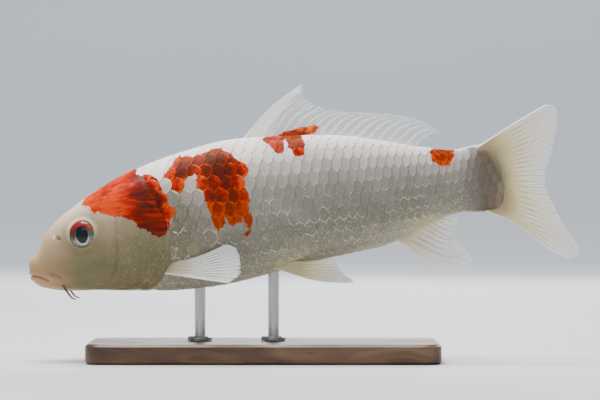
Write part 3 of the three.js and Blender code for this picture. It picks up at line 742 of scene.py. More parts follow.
RIDGE_ROOM, BELLY_ROOM = 0.55, 0.5  # kept free for these two, in row heights
DORSAL_FROM, DORSAL_TO = 93, 162  # the ridge's row gives way to the dorsal fin
TAIL_CLEARANCE, TAIL_NARROWS = 0.9, (160, 178)  # keeps plates off the thin root's far side
PLATE_LIFT, TUCK = 1.0, 0.0009  # share of a plate's own lift, and metres it sinks at the head
CELL_LENGTH, CELL_HALF_WIDTH = 1.9, 0.46  # of a scale's patch on its map, in half columns and rows


def lateral_down(x):
    """How far the lateral line lies down from the ridge at x."""
    fine = 720
    ring, girth = girth_ring(x, BARE_INSET, fine)
    up_left = np.arange(fine // 2 + 1)
    return girth / 2 - np.interp(LATERAL_LINE(x), ring[up_left, 2], up_left / fine * girth)


def skin_frame(x, down):
    """The skin's outward and tailward directions and its place at x, down from the ridge."""
    i = int(np.clip(np.searchsorted(stations, x), 1, len(stations) - 2))
    near = (stations[i] - x) / (stations[i] - stations[i - 1])
    turn = (0.5 - down / np.interp(x, stations, girths)) % 1.0 * AROUND
    j, k = int(turn) % AROUND, (int(turn) + 1) % AROUND
    row = near * form[i - 1] + (1 - near) * form[i]
    place = row[j] + (turn - int(turn)) * (row[k] - row[j])
    return place, outward[i, j], form[i + 1, j] - form[i - 1, j]


# The lattice: neighbouring rows are half a pitch out of step, and follow the lateral line
fine_x = np.linspace(SCALES_FROM, SCALES_TO, 2000)
column_at = np.concatenate([[0], np.cumsum(np.diff(fine_x) / PITCH_ALONG(fine_x[:-1]))])
spots = []  # x, down from the ridge, half column, row
for half_column in range(int(2 * column_at[-1])):
    x = float(np.interp(half_column / 2, column_at, fine_x))
    height = float(ROW_HEIGHT(x))
    half_girth = float(np.interp(x, stations, girths)) / 2
    line = float(lateral_down(x))
    for row in ROWS:
        down = line + row * height
        on_flank = RIDGE_ROOM * height < down < half_girth - BELLY_ROOM * height
        if (row + half_column) % 2 == 0 and on_flank:
            spots.append((x, down, half_column, row))
            spots.append((x, -down, half_column, row))
    if half_column % 2 == 0:
        spots.append((x, 0.0, half_column, RIDGE_ROW))
        spots.append((x, half_girth, half_column, BELLY_ROW))
spots = np.array(spots)
frames = [skin_frame(x, down) for x, down in spots[:, :2]]
spot_place, spot_out, spot_lie = (np.array(part) for part in zip(*frames))
behind_head = beside(spot_place[:, 0], spot_place[:, 2], HEAD_EDGE)[0]
before_tail = beside(spot_place[:, 0], spot_place[:, 2], TAIL_EDGE)[0]
under_fin = (spots[:, 3] == RIDGE_ROW) & (spots[:, 0] > DORSAL_FROM) & (spots[:, 0] < DORSAL_TO)
kept = (behind_head > -SCALES_UNDER_HEAD) & (before_tail < 0) & ~under_fin
spots, spot_place, spot_out, spot_lie = (v[kept] for v in (spots, spot_place, spot_out, spot_lie))
chance = np.random.default_rng(7)
wander = chance.normal(0, 1, (len(spots), 4))
spot_rise = 1 - 2 * np.abs(spots[:, 1]) / np.interp(spots[:, 0], stations, girths)
pitch = PITCH_ALONG(spots[:, 0])


def plate_outline(columns, steps):
    """A scale's flat outline from its front to its rim, as places along and across it."""
    across = np.sin(np.linspace(-1, 1, columns + 1) * math.pi / 2) * 0.999
    front = PLATE_FRONT + 0.25 * across**2
    rim = PLATE_REAR * np.sqrt(1 - 0.97 * across**2)
    share = np.array(steps)[:, None]
    return front + (rim - front) * share, across + 0 * share, share + 0 * across


def scale_plate():
    """One scale lying flat, a pitch and a row height in size, with its lift kept on it."""
    lengthwise, across, share = plate_outline(PLATE_COLUMNS, PLATE_STEPS)
    lift = RIM_LIFT * share**1.2 - FRONT_SINK - SIDE_DROP * across**2
    top = np.stack([lengthwise, PLATE_SIDE * across, 0 * share], axis=-1).reshape(-1, 3)
    wide, deep = PLATE_COLUMNS + 1, len(PLATE_STEPS)
    border = [(0, j) for j in range(wide)] + [(i, wide - 1) for i in range(1, deep)]
    border += [(deep - 1, j) for j in range(wide - 2, -1, -1)] + [(i, 0) for i in range(deep - 2, 0, -1)]
    border = [i * wide + j for i, j in border]
    under = list(range(len(top), len(top) + len(border)))
    faces = []
    for i in range(deep - 1):
        for j in range(wide - 1):
            a = i * wide + j
            faces.append((a, a + wide, a + wide + 1, a + 1))
    for n, (a, b) in enumerate(zip(border, border[1:] + border[:1])):
        c, d = under[(n + 1) % len(under)], under[n]
        faces += [(a, b, c, d), (c, d, under[-1] + 1)]
    plate = new_object("scale_plate", np.concatenate([top, top[border], [[0, 0, 0]]]), faces)
    below = np.append(lift.ravel()[border], -0.12) - PLATE_THICKNESS
    across, share = across.ravel(), share.ravel()
    give(
        plate.data, lift=np.concatenate([lift.ravel(), below]) * 0.001,
        across=np.concatenate([across, across[border], [0]]),
        share=np.concatenate([share, share[border], [0.5]]),
        underside=np.repeat([0.0, 1.0], [len(top), len(border) + 1]),
    )
    return plate


plate = scale_plate()


def field(tree, name, kind="FLOAT"):
    """A number or a vector kept on the geometry."""
    made = node(tree, "GeometryNodeInputNamedAttribute", {"Name": name}, data_type=kind)
    return made.outputs["Attribute"]


def spread_field(tree, value, low, high, most):
    """A value led evenly from low to high into 0 to most."""
    made = node(tree, "ShaderNodeMapRange", {0: value, 1: low, 2: high}, clamp=True)
    tree.links.new(most, made.inputs[4])
    return made.outputs[0]


def scale_tree():
    """Sets a plate on every spot, bends it to the skin and lifts it by its own shape."""
    tree = bpy.data.node_groups.new("scale_rows", "GeometryNodeTree")
    sockets = {
        "Spots": "NodeSocketGeometry", "Plate": "NodeSocketObject", "Skin": "NodeSocketObject",
        "Lift": "NodeSocketFloat", "Tuck": "NodeSocketFloat", "Finish": "NodeSocketMaterial",
    }
    for label, kind in sockets.items():
        tree.interface.new_socket(label, in_out="INPUT", socket_type=kind)
    tree.interface.new_socket("Scales", in_out="OUTPUT", socket_type="NodeSocketGeometry")
    given = tree.nodes.new("NodeGroupInput").outputs
    result = tree.nodes.new("NodeGroupOutput").inputs
    plate_in = node(tree, "GeometryNodeObjectInfo", {"Object": given["Plate"]})
    skin_in = node(tree, "GeometryNodeObjectInfo", {"Object": given["Skin"]})
    axes = {"Primary Axis": field(tree, "out", "FLOAT_VECTOR")}
    axes["Secondary Axis"] = field(tree, "lie", "FLOAT_VECTOR")
    facing = node(tree, "FunctionNodeAxesToRotation", axes, primary_axis="Z", secondary_axis="X")
    placing = {"Points": given["Spots"], "Instance": plate_in.outputs["Geometry"]}
    placing["Rotation"] = facing.outputs[0]
    placing["Scale"] = field(tree, "size", "FLOAT_VECTOR")
    set_out = node(tree, "GeometryNodeInstanceOnPoints", placing)
    solid = node(tree, "GeometryNodeRealizeInstances", {"Geometry": set_out.outputs[0]})
    here = node(tree, "GeometryNodeInputPosition").outputs[0]
    on_skin = {"Mesh": skin_in.outputs["Geometry"], "Sample Position": here}

    def sampled(value, kind):
        made = node(tree, "GeometryNodeSampleNearestSurface", on_skin, data_type=kind)
        tree.links.new(value, made.inputs["Value"])
        return made.outputs["Value"]

    foot = sampled(here, "FLOAT_VECTOR")
    away = sampled(field(tree, "skin_out", "FLOAT_VECTOR"), "FLOAT_VECTOR")
    tucked = spread_field(tree, sampled(field(tree, "bare"), "FLOAT"), 0.9, -0.6, given["Tuck"])
    red_here = sampled(field(tree, "red"), "FLOAT")
    lift = times(tree, field(tree, "lift"), given["Lift"])
    lift = times(tree, lift, field(tree, "press"))
    lift = minus(tree, lift, tucked)
    raised = node(tree, "ShaderNodeVectorMath", {0: away, "Scale": lift}, operation="SCALE")
    place = node(tree, "ShaderNodeVectorMath", {0: foot, 1: raised.outputs[0]}, operation="ADD")
    moved = {"Geometry": solid.outputs[0], "Position": place.outputs[0]}
    moved = node(tree, "GeometryNodeSetPosition", moved)
    marked = {"Geometry": moved.outputs[0], "Name": "red_here", "Value": red_here}
    marked = node(tree, "GeometryNodeStoreNamedAttribute", marked, data_type="FLOAT", domain="POINT")
    smooth = node(tree, "GeometryNodeSetShadeSmooth", {"Geometry": marked.outputs[0]})
    finished = {"Geometry": smooth.outputs[0], "Material": given["Finish"]}
    finished = node(tree, "GeometryNodeSetMaterial", finished)
    tree.links.new(finished.outputs[0], result["Scales"])
    return tree


def from_nodes(source, tree, name, values):
    """The plain mesh that a geometry node tree makes of an object, in the object's place."""
    modifier = source.modifiers.new(tree.name, "NODES")
    modifier.node_group = tree
    for item in tree.interface.items_tree:
        if item.in_out == "INPUT" and item.name in values:
            modifier[item.identifier] = values[item.name]
    ready = source.evaluated_get(bpy.context.evaluated_depsgraph_get())
    mesh = bpy.data.meshes.new_from_object(ready)
    source.modifiers.remove(modifier)
    bpy.data.objects.remove(source)
    mesh.name = name
    made = bpy.data.objects.new(name, mesh)
    bpy.context.scene.collection.objects.link(made)
    return made


def read_field(mesh, name):
    """The numbers kept on a mesh under a name."""
    found = np.empty(len(mesh.vertices), np.float32)
    mesh.attributes[name].data.foreach_get("value", found)
    return found


# White scales go from pearl to grey-olive down the flank, partly their own tint and partly painted
# shade, with covered fronts greyer by painted shade, pale rims partly painted glints and flecks of
# painted sparkle low down; red ones are deep in the middle and orange towards the rim, with painted
# orange glints. Fine growth rings run round each.
# the last of these greys the covered front of each scale, partly its own grey and partly painted shade
# from the scale ahead
SMOKE, GILL_SHADE, INNER_GREY_SHADE = (0.25, 0.245, 0.20), (0.145, 0.125, 0.08), (0.27, 0.255, 0.21)
# the last of these is flecks of painted sparkle, most low on the flank
PINK_SHEEN, GREEN_SHEEN, SPARKLE_SPECK = (0.62, 0.52, 0.60), (0.40, 0.56, 0.50), (0.92, 0.87, 0.70)
# rim colours: the pale one partly the scale's own pale edge and partly painted glint, the orange one
# painted glint
WHITE_RIM_GLINT, ORANGE_RIM_GLINT = (0.95, 0.92, 0.86), (0.85, 0.17, 0.03)

horn, tree, shader = new_material(
    "koi_scales", Roughness=0.45, Coat_Weight=0.03, Coat_Roughness=0.1, Specular_IOR_Level=0.03
)
share_at, across_at = attribute(tree, "share"), attribute(tree, "across")
shade_at, red_here = attribute(tree, "shade"), attribute(tree, "red_here")
rise_at, along_at = attribute(tree, "rise"), attribute(tree, "along")
to_rim = times(tree, times(tree, across_at, across_at), 0.22)
to_rim = plus(tree, share_at, to_rim)
ember = spread(tree, red_here, 0.3, 4.2, 0.06, 0.66)
mottle = spread(tree, object_noise(tree, 520.0, 3.0), 0.36, 0.64, -0.16, 0.22)
ember = plus(tree, ember, mottle)
own_shade = times(tree, minus(tree, shade_at, 0.5), 0.55)
ember = plus(tree, ember, own_shade)
ember = plus(tree, ember, spread(tree, to_rim, 0.93, 0.75, 0.0, 0.2))
# deeper red high on the flank: partly the patches' own darker tops, partly painted shade set against the
# strong light from above
ember = plus(tree, ember, spread(tree, rise_at, 0.6, 0.92, 0.0, 0.3))
ember = plus(tree, ember, spread(tree, along_at, 130.0, 165.0, 0.0, -0.3))
depth = minus(tree, ember, spread(tree, to_rim, 0.92, 1.02, 0.0, 0.16), clamp=True)
own_and_here = {0: attribute(tree, "whole"), 2: red_here, 3: attribute(tree, "red")}
red_at = node(tree, "ShaderNodeMix", own_and_here, data_type="FLOAT").outputs[0]
markings = {"Rise": rise_at, "Along": along_at, "Depth": depth, "Ragged": 0.25}
markings.update({"Red": plus(tree, red_at, 0.2), "Tan": attribute(tree, "tan")})
coat = node(tree, "ShaderNodeGroup", markings, node_tree=coat_group)
rings = times(tree, to_rim, 75.0)
rings = maths(tree, "SINE", plus(tree, rings, times(tree, shade_at, 9.0)))
fleck = object_noise(tree, 1900.0, 2.0, (1.5, 1.0, 0.6))
rim = spread(tree, to_rim, 0.945, 0.99)
some = spread(tree, object_noise(tree, 150.0), 0.44, 0.62, 0.1, 0.9)
# painted glints on the rims, broken into flecks and on some scales only
rim_spark = times(tree, rim, spread(tree, fleck, 0.42, 0.62, 0.2, 1.0))
rim_spark = times(tree, rim_spark, some)
clean = minus(tree, 1.0, coat.outputs["Dusk"])
clear_rim_glint = times(tree, rim_spark, clean)
# greyer towards each scale's covered front: partly its own translucent grey, partly painted shade from
# the overlapping scale ahead
inner = spread(tree, to_rim, 0.95, 0.4, 0.0, 0.34)
inner = times(tree, inner, spread(tree, rise_at, 0.86, 0.62, 0.25, 1.0))
smoky = times(tree, shade_at, spread(tree, rise_at, 0.86, 0.6, 0.1, 0.34))
gill_shadow = attribute(tree, "gill")
# the white ground keeps its painted light and shade down the flank, with the painted gill shadow laid
# over it
shaded_pearl = layered(tree, coat.outputs["Shaded_pearl"], (smoky, SMOKE), (gill_shadow, GILL_SHADE))
tint = object_noise(tree, 130.0, 2.0)
pink, green = spread(tree, tint, 0.52, 0.68, 0.0, 0.3), spread(tree, tint, 0.48, 0.32, 0.0, 0.35)
shaded_pearl = blend(tree, pink, shaded_pearl, PINK_SHEEN, "SOFT_LIGHT")
shaded_pearl = blend(tree, green, shaded_pearl, GREEN_SHEEN, "SOFT_LIGHT")
# yellowish flecks of painted sparkle, most low on the flank
low_down = spread(tree, rise_at, 0.42, 0.10)
sparkle = plus(tree, times(tree, low_down, 0.4), 0.2)
sparkle = times(tree, times(tree, sparkle, clean), spread(tree, fleck, 0.55, 0.68))
# pale rims on white scales: partly their own pale edge, partly painted glint
pale = times(tree, clear_rim_glint, 0.6)
shaded_pearl = layered(tree, shaded_pearl, (inner, INNER_GREY_SHADE), (sparkle, SPARKLE_SPECK), (pale, WHITE_RIM_GLINT))
# painted orange glints on the rims of red scales
glint = times(tree, rim_spark, spread(tree, red_here, 1.0, 6.0, 0.55, 0.25))
blood = blend(tree, glint, coat.outputs["Blood"], ORANGE_RIM_GLINT)
colour = blend(tree, coat.outputs["Patch"], shaded_pearl, blood)
height = plus(tree, times(tree, rings, 0.14), fleck)
wetness = spread(tree, fleck, 0.3, 0.7, 0.36, 0.52)
feed(tree, shader, Base_Color=colour, Roughness=wetness, Normal=relief_of(tree, height, 0.22, 0.00015))

rows_of_scales = scale_tree()
FLANKS = {
    "scales_left": (spots[:, 1] >= 0),
    "scales_right": (spots[:, 1] < 0),
}
for name, chosen in FLANKS.items():
    x, down, column, row = spots[chosen].T
    place, out, luck = spot_place[chosen], spot_out[chosen], wander[chosen]
    clear = TAIL_CLEARANCE * ease(x, *TAIL_NARROWS)[:, None]
    source = new_object(f"{name}_spots", placed(place + clear * out), [])
    visible = x + 0.5 * pitch[chosen]  # the middle of a scale's bare part
    fingers = 0.33 * bell(x - 109, 9) + 0.44 * bell(x - 85, 9) * ease(down, 31, 35)
    behind = behind_head[kept][chosen]
    gill_shadow = 0.85 * bell(behind - 1, 7) + 0.3 * bell(behind - 13, 9)
    gill_shadow *= ease(place[:, 2], 26, 15) * ease(place[:, 2], -16, -8)
    give(
        source.data, out=turned(out), column=column, row=row, along=visible, gill=gill_shadow,
        lie=turned(spot_lie[chosen] + 0.05 * luck[:, :1] * np.array([0, 0, 1])),
        size=np.stack([pitch[chosen], ROW_HEIGHT(x), 1000 + 0 * x], axis=-1) * 0.001,
        red=redness(visible, down) + 0.25 * luck[:, 1],
        whole=0.45 - fingers,  # how far a scale is of one colour
        rise=np.clip(spot_rise[chosen] + 0.012 * luck[:, 2], 0, 1),
        shade=np.clip(0.5 + 0.22 * luck[:, 3], 0, 1),
        press=0.55 + 0.45 * ease(-before_tail[kept][chosen], 0, 16),  # flatter at the tail root
        tan=tan_near_feet(place[:, 0], place[:, 2]),
    )
    values = {"Plate": plate, "Skin": skin, "Lift": PLATE_LIFT, "Tuck": TUCK, "Finish": horn}
    flank = from_nodes(source, rows_of_scales, name, values)
    mesh = flank.data
    corners = corner_vertices(mesh)
    column, row = read_field(mesh, "column"), read_field(mesh, "row")
    low = read_field(mesh, "underside")
    lengthwise = (read_field(mesh, "share") - 0.5) * CELL_LENGTH + column
    sideways = read_field(mesh, "across") * CELL_HALF_WIDTH * (1 - 0.9 * low) + row
    u = (lengthwise - column.min() + 1) / (column.max() - column.min() + 2)
    v = (sideways - row.min() + 0.5) / (row.max() - row.min() + 1)
    give_uv(mesh, "OFBake", np.stack([u, v], axis=-1)[corners])
    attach(flank, "root")
bpy.data.objects.remove(plate)

# ---- Eyes
# Lidless eyeballs in round sockets: a clear bulging cornea over a silver iris, with a red
# crescent over its top and a tall dark pupil set a little low.
EYE_BALL, EYE_HALF_DEPTH = 5.6, 3.1
PUPIL_AT = (0.4, -0.35)  # tailward and up from the eye's middle
PUPIL_HALF = (2.5, 3.5)
EYE_RINGS, EYE_SPOKES = 44, 96
CRESCENT_INNER = curve_through([  # by angle from the tail end over the top to the snout
    (-180, 4.6), (-164, 6.3), (-60, 6.5), (-2, 6.2), (9, 4.6), (20, 3.7), (45, 3.3), (70, 2.95),
    (90, 2.8), (118, 2.8), (140, 2.9), (160, 3.2), (180, 4.6),
])


def eye_ball(name, side):
    """An eyeball of rings round its outward axis, marked with its pupil and crescent."""
    flip = np.array([1, side, 1])
    out = eye_outward
    up = np.array([0, 0, 1]) - out[2] * out
    up /= np.linalg.norm(up)
    tailward = np.cross(up, out)
    bow = np.linspace(0, math.pi, EYE_RINGS + 1)[1:-1, None]
    turn = np.linspace(-math.pi, math.pi, EYE_SPOKES, endpoint=False)[None, :]
    radius = EYE_BALL * np.sin(bow) ** 0.94 + 0 * turn
    depth = EYE_HALF_DEPTH * np.sign(np.cos(bow)) * np.abs(np.cos(bow)) ** 0.9 + 0 * turn
    flat = [radius * np.cos(turn), radius * np.sin(turn)]
    points = eye_centre + flat[0][..., None] * tailward + flat[1][..., None] * up
    points = (points + depth[..., None] * out).reshape(-1, 3)
    tips = [eye_centre + EYE_HALF_DEPTH * out, eye_centre - EYE_HALF_DEPTH * out]
    points = np.concatenate([points, tips]) * flip
    faces = ring_faces(EYE_RINGS - 1, EYE_SPOKES, tips=True)
    if side < 0:
        faces = [tuple(reversed(face)) for face in faces]
    ball = new_object(name, placed(points), faces)
    rim = np.append(radius.ravel(), [0, 0])
    behind = np.append((depth < 0).ravel(), [False, True])
    rim = np.where(behind, 2 * EYE_BALL - rim, rim)
    across, upward = (np.append(v.ravel(), [0, 0]) for v in flat)
    angle = np.degrees(np.arctan2(upward, across))
    from_pupil = np.hypot((across - PUPIL_AT[0]) / PUPIL_HALF[0], (upward - PUPIL_AT[1]) / PUPIL_HALF[1])
    give(
        ball.data, from_centre=rim, upward=upward, across=across,
        pupil=(from_pupil - 1) * PUPIL_HALF[0], crescent=rim - CRESCENT_INNER(angle),
    )
    corners = corner_vertices(ball.data)
    u = np.where(behind, 0.75, 0.25) + 0.24 * across / EYE_BALL  # front and back side by side
    v = 0.5 + 0.48 * upward / EYE_BALL
    give_uv(ball.data, "OFBake", np.stack([u, v], axis=-1)[corners])
    return ball


SILVER = [(0.3, (0.06, 0.065, 0.05)), (0.5, (0.20, 0.20, 0.155)), (0.7, (0.50, 0.48, 0.40))]
CRESCENT_RED = [(0.3, (0.19, 0.007, 0.012)), (0.5, (0.27, 0.010, 0.016)), (0.7, (0.38, 0.02, 0.022))]
TAIL_SIDE, SNOUT_SIDE = (0.085, 0.10, 0.082), (0.05, 0.03, 0.018)  # of the silver
# the second of these is painted shadow over the top of the iris, under the socket's upper rim
PUPIL_RING, UPPER_IRIS_SHADOW, PUPIL_BLACK = (0.62, 0.60, 0.52), (0.035, 0.025, 0.024), (0.006, 0.008, 0.016)
RED_TAILWARD, RED_SNOUTWARD = (0.40, 0.10, 0.03), (0.15, 0.006, 0.008)
LIMBUS = (0.12, 0.08, 0.07)  # the dim edge of the eye

iris, tree, shader = new_material(
    "koi_eye", Roughness=0.45, Coat_Weight=0.45, Coat_Roughness=0.03, Specular_IOR_Level=0.1
)
across_at, upward_at = attribute(tree, "across"), attribute(tree, "upward")
radius_at, pupil_at = attribute(tree, "from_centre"), attribute(tree, "pupil")
angle_at = maths(tree, "ARCTAN2", upward_at, across_at)
spokes = node(tree, "ShaderNodeCombineXYZ", {0: times(tree, radius_at, 0.35)})
tree.links.new(times(tree, angle_at, 3.2), spokes.inputs[1])
spokes = {"Vector": spokes.outputs[0], "Scale": 3.4, "Detail": 3.0}
fibres = node(tree, "ShaderNodeTexNoise", spokes).outputs[0]
high = spread(tree, upward_at, -2.9, -1.2)
tailward = times(tree, spread(tree, across_at, 1.4, 3.4, 0.0, 0.85), high)
snoutward = times(tree, spread(tree, across_at, -1.2, -2.8, 0.0, 0.92), high)
ring = spread(tree, pupil_at, 0.62, 0.38)
ring = times(tree, ring, spread(tree, upward_at, -0.4, -2.8, 0.03, 0.9))
ring = times(tree, ring, spread(tree, fibres, 0.35, 0.5, 0.35, 1.0))
# painted shadow over the upper iris, under the socket's upper rim
upper_shadow = spread(tree, upward_at, 0.0, 2.2)
red_tailward = spread(tree, across_at, 2.0, 4.2, 0.0, 0.7)
red_snoutward = spread(tree, across_at, -1.5, -4.4, 0.0, 0.7)
flame = ramp(tree, fibres, CRESCENT_RED)
flame = layered(tree, flame, (red_tailward, RED_TAILWARD), (red_snoutward, RED_SNOUTWARD))
edge = plus(tree, attribute(tree, "crescent"), times(tree, fibres, 0.2))
crescent = spread(tree, edge, 0.1, 0.5)
black = spread(tree, pupil_at, 0.12, -0.02)
limbus = spread(tree, radius_at, 4.75, 5.2, 0.0, 0.6)
colour = layered(
    tree, ramp(tree, fibres, SILVER), (tailward, TAIL_SIDE), (snoutward, SNOUT_SIDE),
    (ring, PUPIL_RING), (upper_shadow, UPPER_IRIS_SHADOW), (black, PUPIL_BLACK), (crescent, flame),
    (limbus, LIMBUS),
)
shine = spread(tree, fibres, 0.4, 0.6, 0.05, 0.25)
shine = times(tree, shine, minus(tree, 1.0, black))
feed(tree, shader, Base_Color=colour, Metallic=shine, Normal=relief_of(tree, fibres, 0.35, 0.0002))
for name, side in {"eye_left": 1, "eye_right": -1}.items():
    ball = eye_ball(f"{name}_ball", side)
    ball.data.materials.append(iris)
    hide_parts(name)
    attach(ball, "root")

# ---- Barbels
# Soft feelers in two pairs, a short pale one high on each lip and a long dusky one at each
# corner of the mouth, tapering to blunt tips.
BARBELS = {  # path on the left side, root and tip radius, share of dusk
    "barbel_front": (
        [(7.6, -7.2, -4.6), (8.8, -9.6, -5.4), (9.2, -11, -7.4), (8.6, -11.4, -9.6)],
        0.32, 0.15, 0.1,
    ),
    "barbel_rear": (
        [(11.8, -5.4, -8.8), (14.2, -7.2, -12.8), (15.4, -7.6, -15), (17.2, -7.8, -16.2)],
        0.5, 0.24, 0.85,
    ),
}
BARBEL_STEPS, BARBEL_SIDES = 40, 16


def tapering_tube(name, path, root_radius, tip_radius):
    """A round tapering tube along a path, closed flat at its root and rounded off to its tip."""
    middle = line_through(path, BARBEL_STEPS)
    heading = np.gradient(middle, axis=0)
    heading /= np.linalg.norm(heading, axis=1, keepdims=True)
    side = np.cross(heading, [1, 0, 0.3])
    side /= np.linalg.norm(side, axis=1, keepdims=True)
    over = np.cross(heading, side)
    share = np.linspace(0, 1, BARBEL_STEPS)
    radius = root_radius + (tip_radius - root_radius) * share
    radius *= np.sqrt(np.clip((1.0 - share) / 0.04, 0.02, 1)) * (1 + 0.04 * np.sin(share * 70))
    turn = np.linspace(0, 2 * math.pi, BARBEL_SIDES, endpoint=False)
    rings = middle[:, None] + radius[:, None, None] * (
        np.cos(turn)[None, :, None] * side[:, None] + np.sin(turn)[None, :, None] * over[:, None]
    )
    faces = [tuple(reversed(range(BARBEL_SIDES)))]
    for i in range(BARBEL_STEPS - 1):
        for j in range(BARBEL_SIDES):
            k = (j + 1) % BARBEL_SIDES
            a, b = i * BARBEL_SIDES, (i + 1) * BARBEL_SIDES
            faces.append((a + j, a + k, b + k, b + j))
    faces.append(tuple(range((BARBEL_STEPS - 1) * BARBEL_SIDES, BARBEL_STEPS * BARBEL_SIDES)))
    return rings.reshape(-1, 3), faces, np.repeat(share, BARBEL_SIDES)


PALE = [(0.0, (0.46, 0.29, 0.17)), (0.4, (0.44, 0.28, 0.17)), (1.0, (0.40, 0.27, 0.17))]
DUSKY = [(0.0, (0.34, 0.24, 0.15)), (0.25, (0.10, 0.065, 0.04)), (1.0, (0.06, 0.042, 0.03))]

feeler, tree, shader = new_material(
    "koi_barbel", Roughness=0.45, Coat_Weight=0.1, Coat_Roughness=0.15, Specular_IOR_Level=0.2
)
share_at, dusk_at = attribute(tree, "share"), attribute(tree, "dusk")
pale = ramp(tree, share_at, PALE)
dusky = ramp(tree, share_at, DUSKY)
mottle = spread(tree, object_noise(tree, 1400.0, 2.0), 0.4, 0.6, -0.12, 0.12)
colour = blend(tree, plus(tree, dusk_at, mottle, clamp=True), pale, dusky)
ridges = maths(tree, "SINE", times(tree, share_at, 260.0))
feed(tree, shader, Base_Color=colour, Normal=relief_of(tree, ridges, 0.3, 0.00008))
for name, (path, root_radius, tip_radius, dusk_share) in BARBELS.items():
    for side, flip in {"left": 1, "right": -1}.items():
        points, faces, share = tapering_tube(name, path, root_radius, tip_radius)
        if flip < 0:
            faces = [tuple(reversed(face)) for face in faces]
        tube = new_object(f"{name}_{side}_tube", placed(points * [1, flip, 1]), faces)
        give(tube.data, share=share, dusk=0 * share + dusk_share)
        tube.data.materials.append(feeler)
        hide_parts(f"{name}_{side}")
        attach(tube, "root")

# ---- Fins
# Thin webs of clear skin stretched over soft bony rays, which fork twice on their way to a
# scalloped edge. The front rays of each fin are stout and lie close together, and a fleshy
# foot joins each fin to the body.
DORSAL_ROOT_AT = (92, 103.5, 115, 126.3, 137.5, 149, 160.3)
ANAL_ROOT_AT = (146, 150.5, 155, 159, 162.5, 165.5)
FIN_ROOT_DEPTH = 1.2  # how far a fin's foot reaches under the body's outline
DORSAL_LINES = [
    [(x, 0, float(back(x)) - FIN_ROOT_DEPTH) for x in DORSAL_ROOT_AT],
    [
        (105.5, 0, 46.4), (111.3, 0, 42.6), (122, 0, 39.3), (134, 0, 37.2), (146.4, 0, 34.2),
        (156.4, 0, 30.3), (165.3, 0, 25.1),
    ],
    [
        (120.4, 0, 54.2), (120.3, 0, 47.6), (130.6, 0, 41.4), (143.3, 0, 38.4),
        (156.9, 0, 35), (165, 0, 31.4), (171, 0, 25.9),
    ],
]
ANAL_LINES = [
    [(x, 0, float(belly(x)) + FIN_ROOT_DEPTH) for x in ANAL_ROOT_AT],
    [
        (160, 0, -25), (163, 0, -21.8), (164, 0, -17.6), (165, 0, -14.6), (167, 0, -11.5),
        (169, 0, -8.9),
    ],
    [
        (175, 0, -29.1), (175.7, 0, -26.3), (172.8, 0, -21.2), (170.8, 0, -17.6),
        (171.4, 0, -13.4), (172.6, 0, -9.2),
    ],
]
TAIL_UPPER_LINES = [
    [(184, 0, 17), (189.5, 0, 14.5), (192.5, 0, 9.5), (193, 0, 4)],
    [(201.3, 0, 24.5), (203.8, 0, 20), (204.2, 0, 14.2), (203, 0, 8.4), (201.7, 0, 2.9)],
    [(218.6, 0, 31), (219.4, 0, 24.5), (217, 0, 16.5), (213.8, 0, 8.8), (210.3, 0, 1.6)],
]
TAIL_LOWER_LINES = [
    [(193, 0, 3.4), (192.5, 0, -3), (190, 0, -8), (184, 0, -8.2)],
    [(198.7, 0, 2.3), (198.9, 0, -3.4), (199.3, 0, -10), (198.2, 0, -14.9), (196.3, 0, -16.6)],
    [(204.5, 0, 1.4), (204.9, 0, -5.7), (207.2, 0, -14.7), (208.8, 0, -21.8), (207.2, 0, -28.2)],
    [
        (210.2, 0, 0.7), (210.1, 0, -5), (213, 0, -14.5), (217, 0, -25), (219.2, 0, -30.5),
        (216.3, 0, -34.7),
    ],
]
PECTORAL_LINES = [
    [(54.3, -12.2, -12), (57, -13, -7.8)],
    [(66.8, -21, -15.7), (69.5, -20, -11.6), (68.3, -17.5, -7.2)],
    [
        (79.5, -28, -19.7), (83.5, -27, -16.5), (84.8, -25, -11.5), (84.2, -22.5, -7),
        (81, -20, -4.2),
    ],
]
PELVIC_LINES = [
    [(97.5, -4.6, -17.4), (104, -6.6, -15.4)],
    [(112.5, -11, -24.4), (112.8, -11.8, -20.5), (112.5, -10.8, -16.6)],
    [(127.9, -15, -27.9), (124.5, -15.5, -24.8), (122.5, -15, -21), (121, -13.5, -17.3)],
]
DORSAL_RED = [
    (104, 32), (107.5, 35.6), (110.5, 36.1), (114, 36.2), (116.5, 37), (119.5, 36.7), (121.5, 37.1),
    (124, 36), (122.6, 34.4), (120, 33.4), (117, 31), (110, 31),
]
FIN_MEASURES = (  # in millimetres, or as shares of a fin's length or of the space between its rays
    "rays", "ray_half", "first_fork", "second_fork", "notch", "tip_round", "web_half", "ray_lift",
    "foot_half", "foot_share", "stout", "waves", "wave_height",
)
FINS = {
    "dorsal": (19, 0.15, 0.62, 0.92, 0.05, 0.01, 0.09, 0.2, 0.75, 0.09, 0.35, 0.5, 0.3),
    "anal": (10, 0.36, 0.4, 0.7, 0.04, 0.08, 0.11, 0.16, 0.85, 0.16, 0.3, 0.8, 0.25),
    "tail": (26, 0.37, 0.3, 0.6, 0.03, 0.07, 0.12, 0.15, 0.34, 0.3, 0.45, 0.7, 0.35),
    "pectoral": (12, 0.36, 0.55, 0.85, 0.04, 0.05, 0.11, 0.2, 1.0, 0.22, 0.3, 0.6, 0.35),
    "pelvic": (9, 0.36, 0.4, 0.7, 0.06, 0.06, 0.11, 0.18, 0.9, 0.2, 0.3, 0.7, 0.3),
}
SHEETS = {
    "dorsal": [DORSAL_LINES], "anal": [ANAL_LINES], "tail": [TAIL_UPPER_LINES, TAIL_LOWER_LINES],
    "pectoral": [PECTORAL_LINES], "pelvic": [PELVIC_LINES],
}
COLUMNS_A_RAY, FIN_STEPS = 12, 48
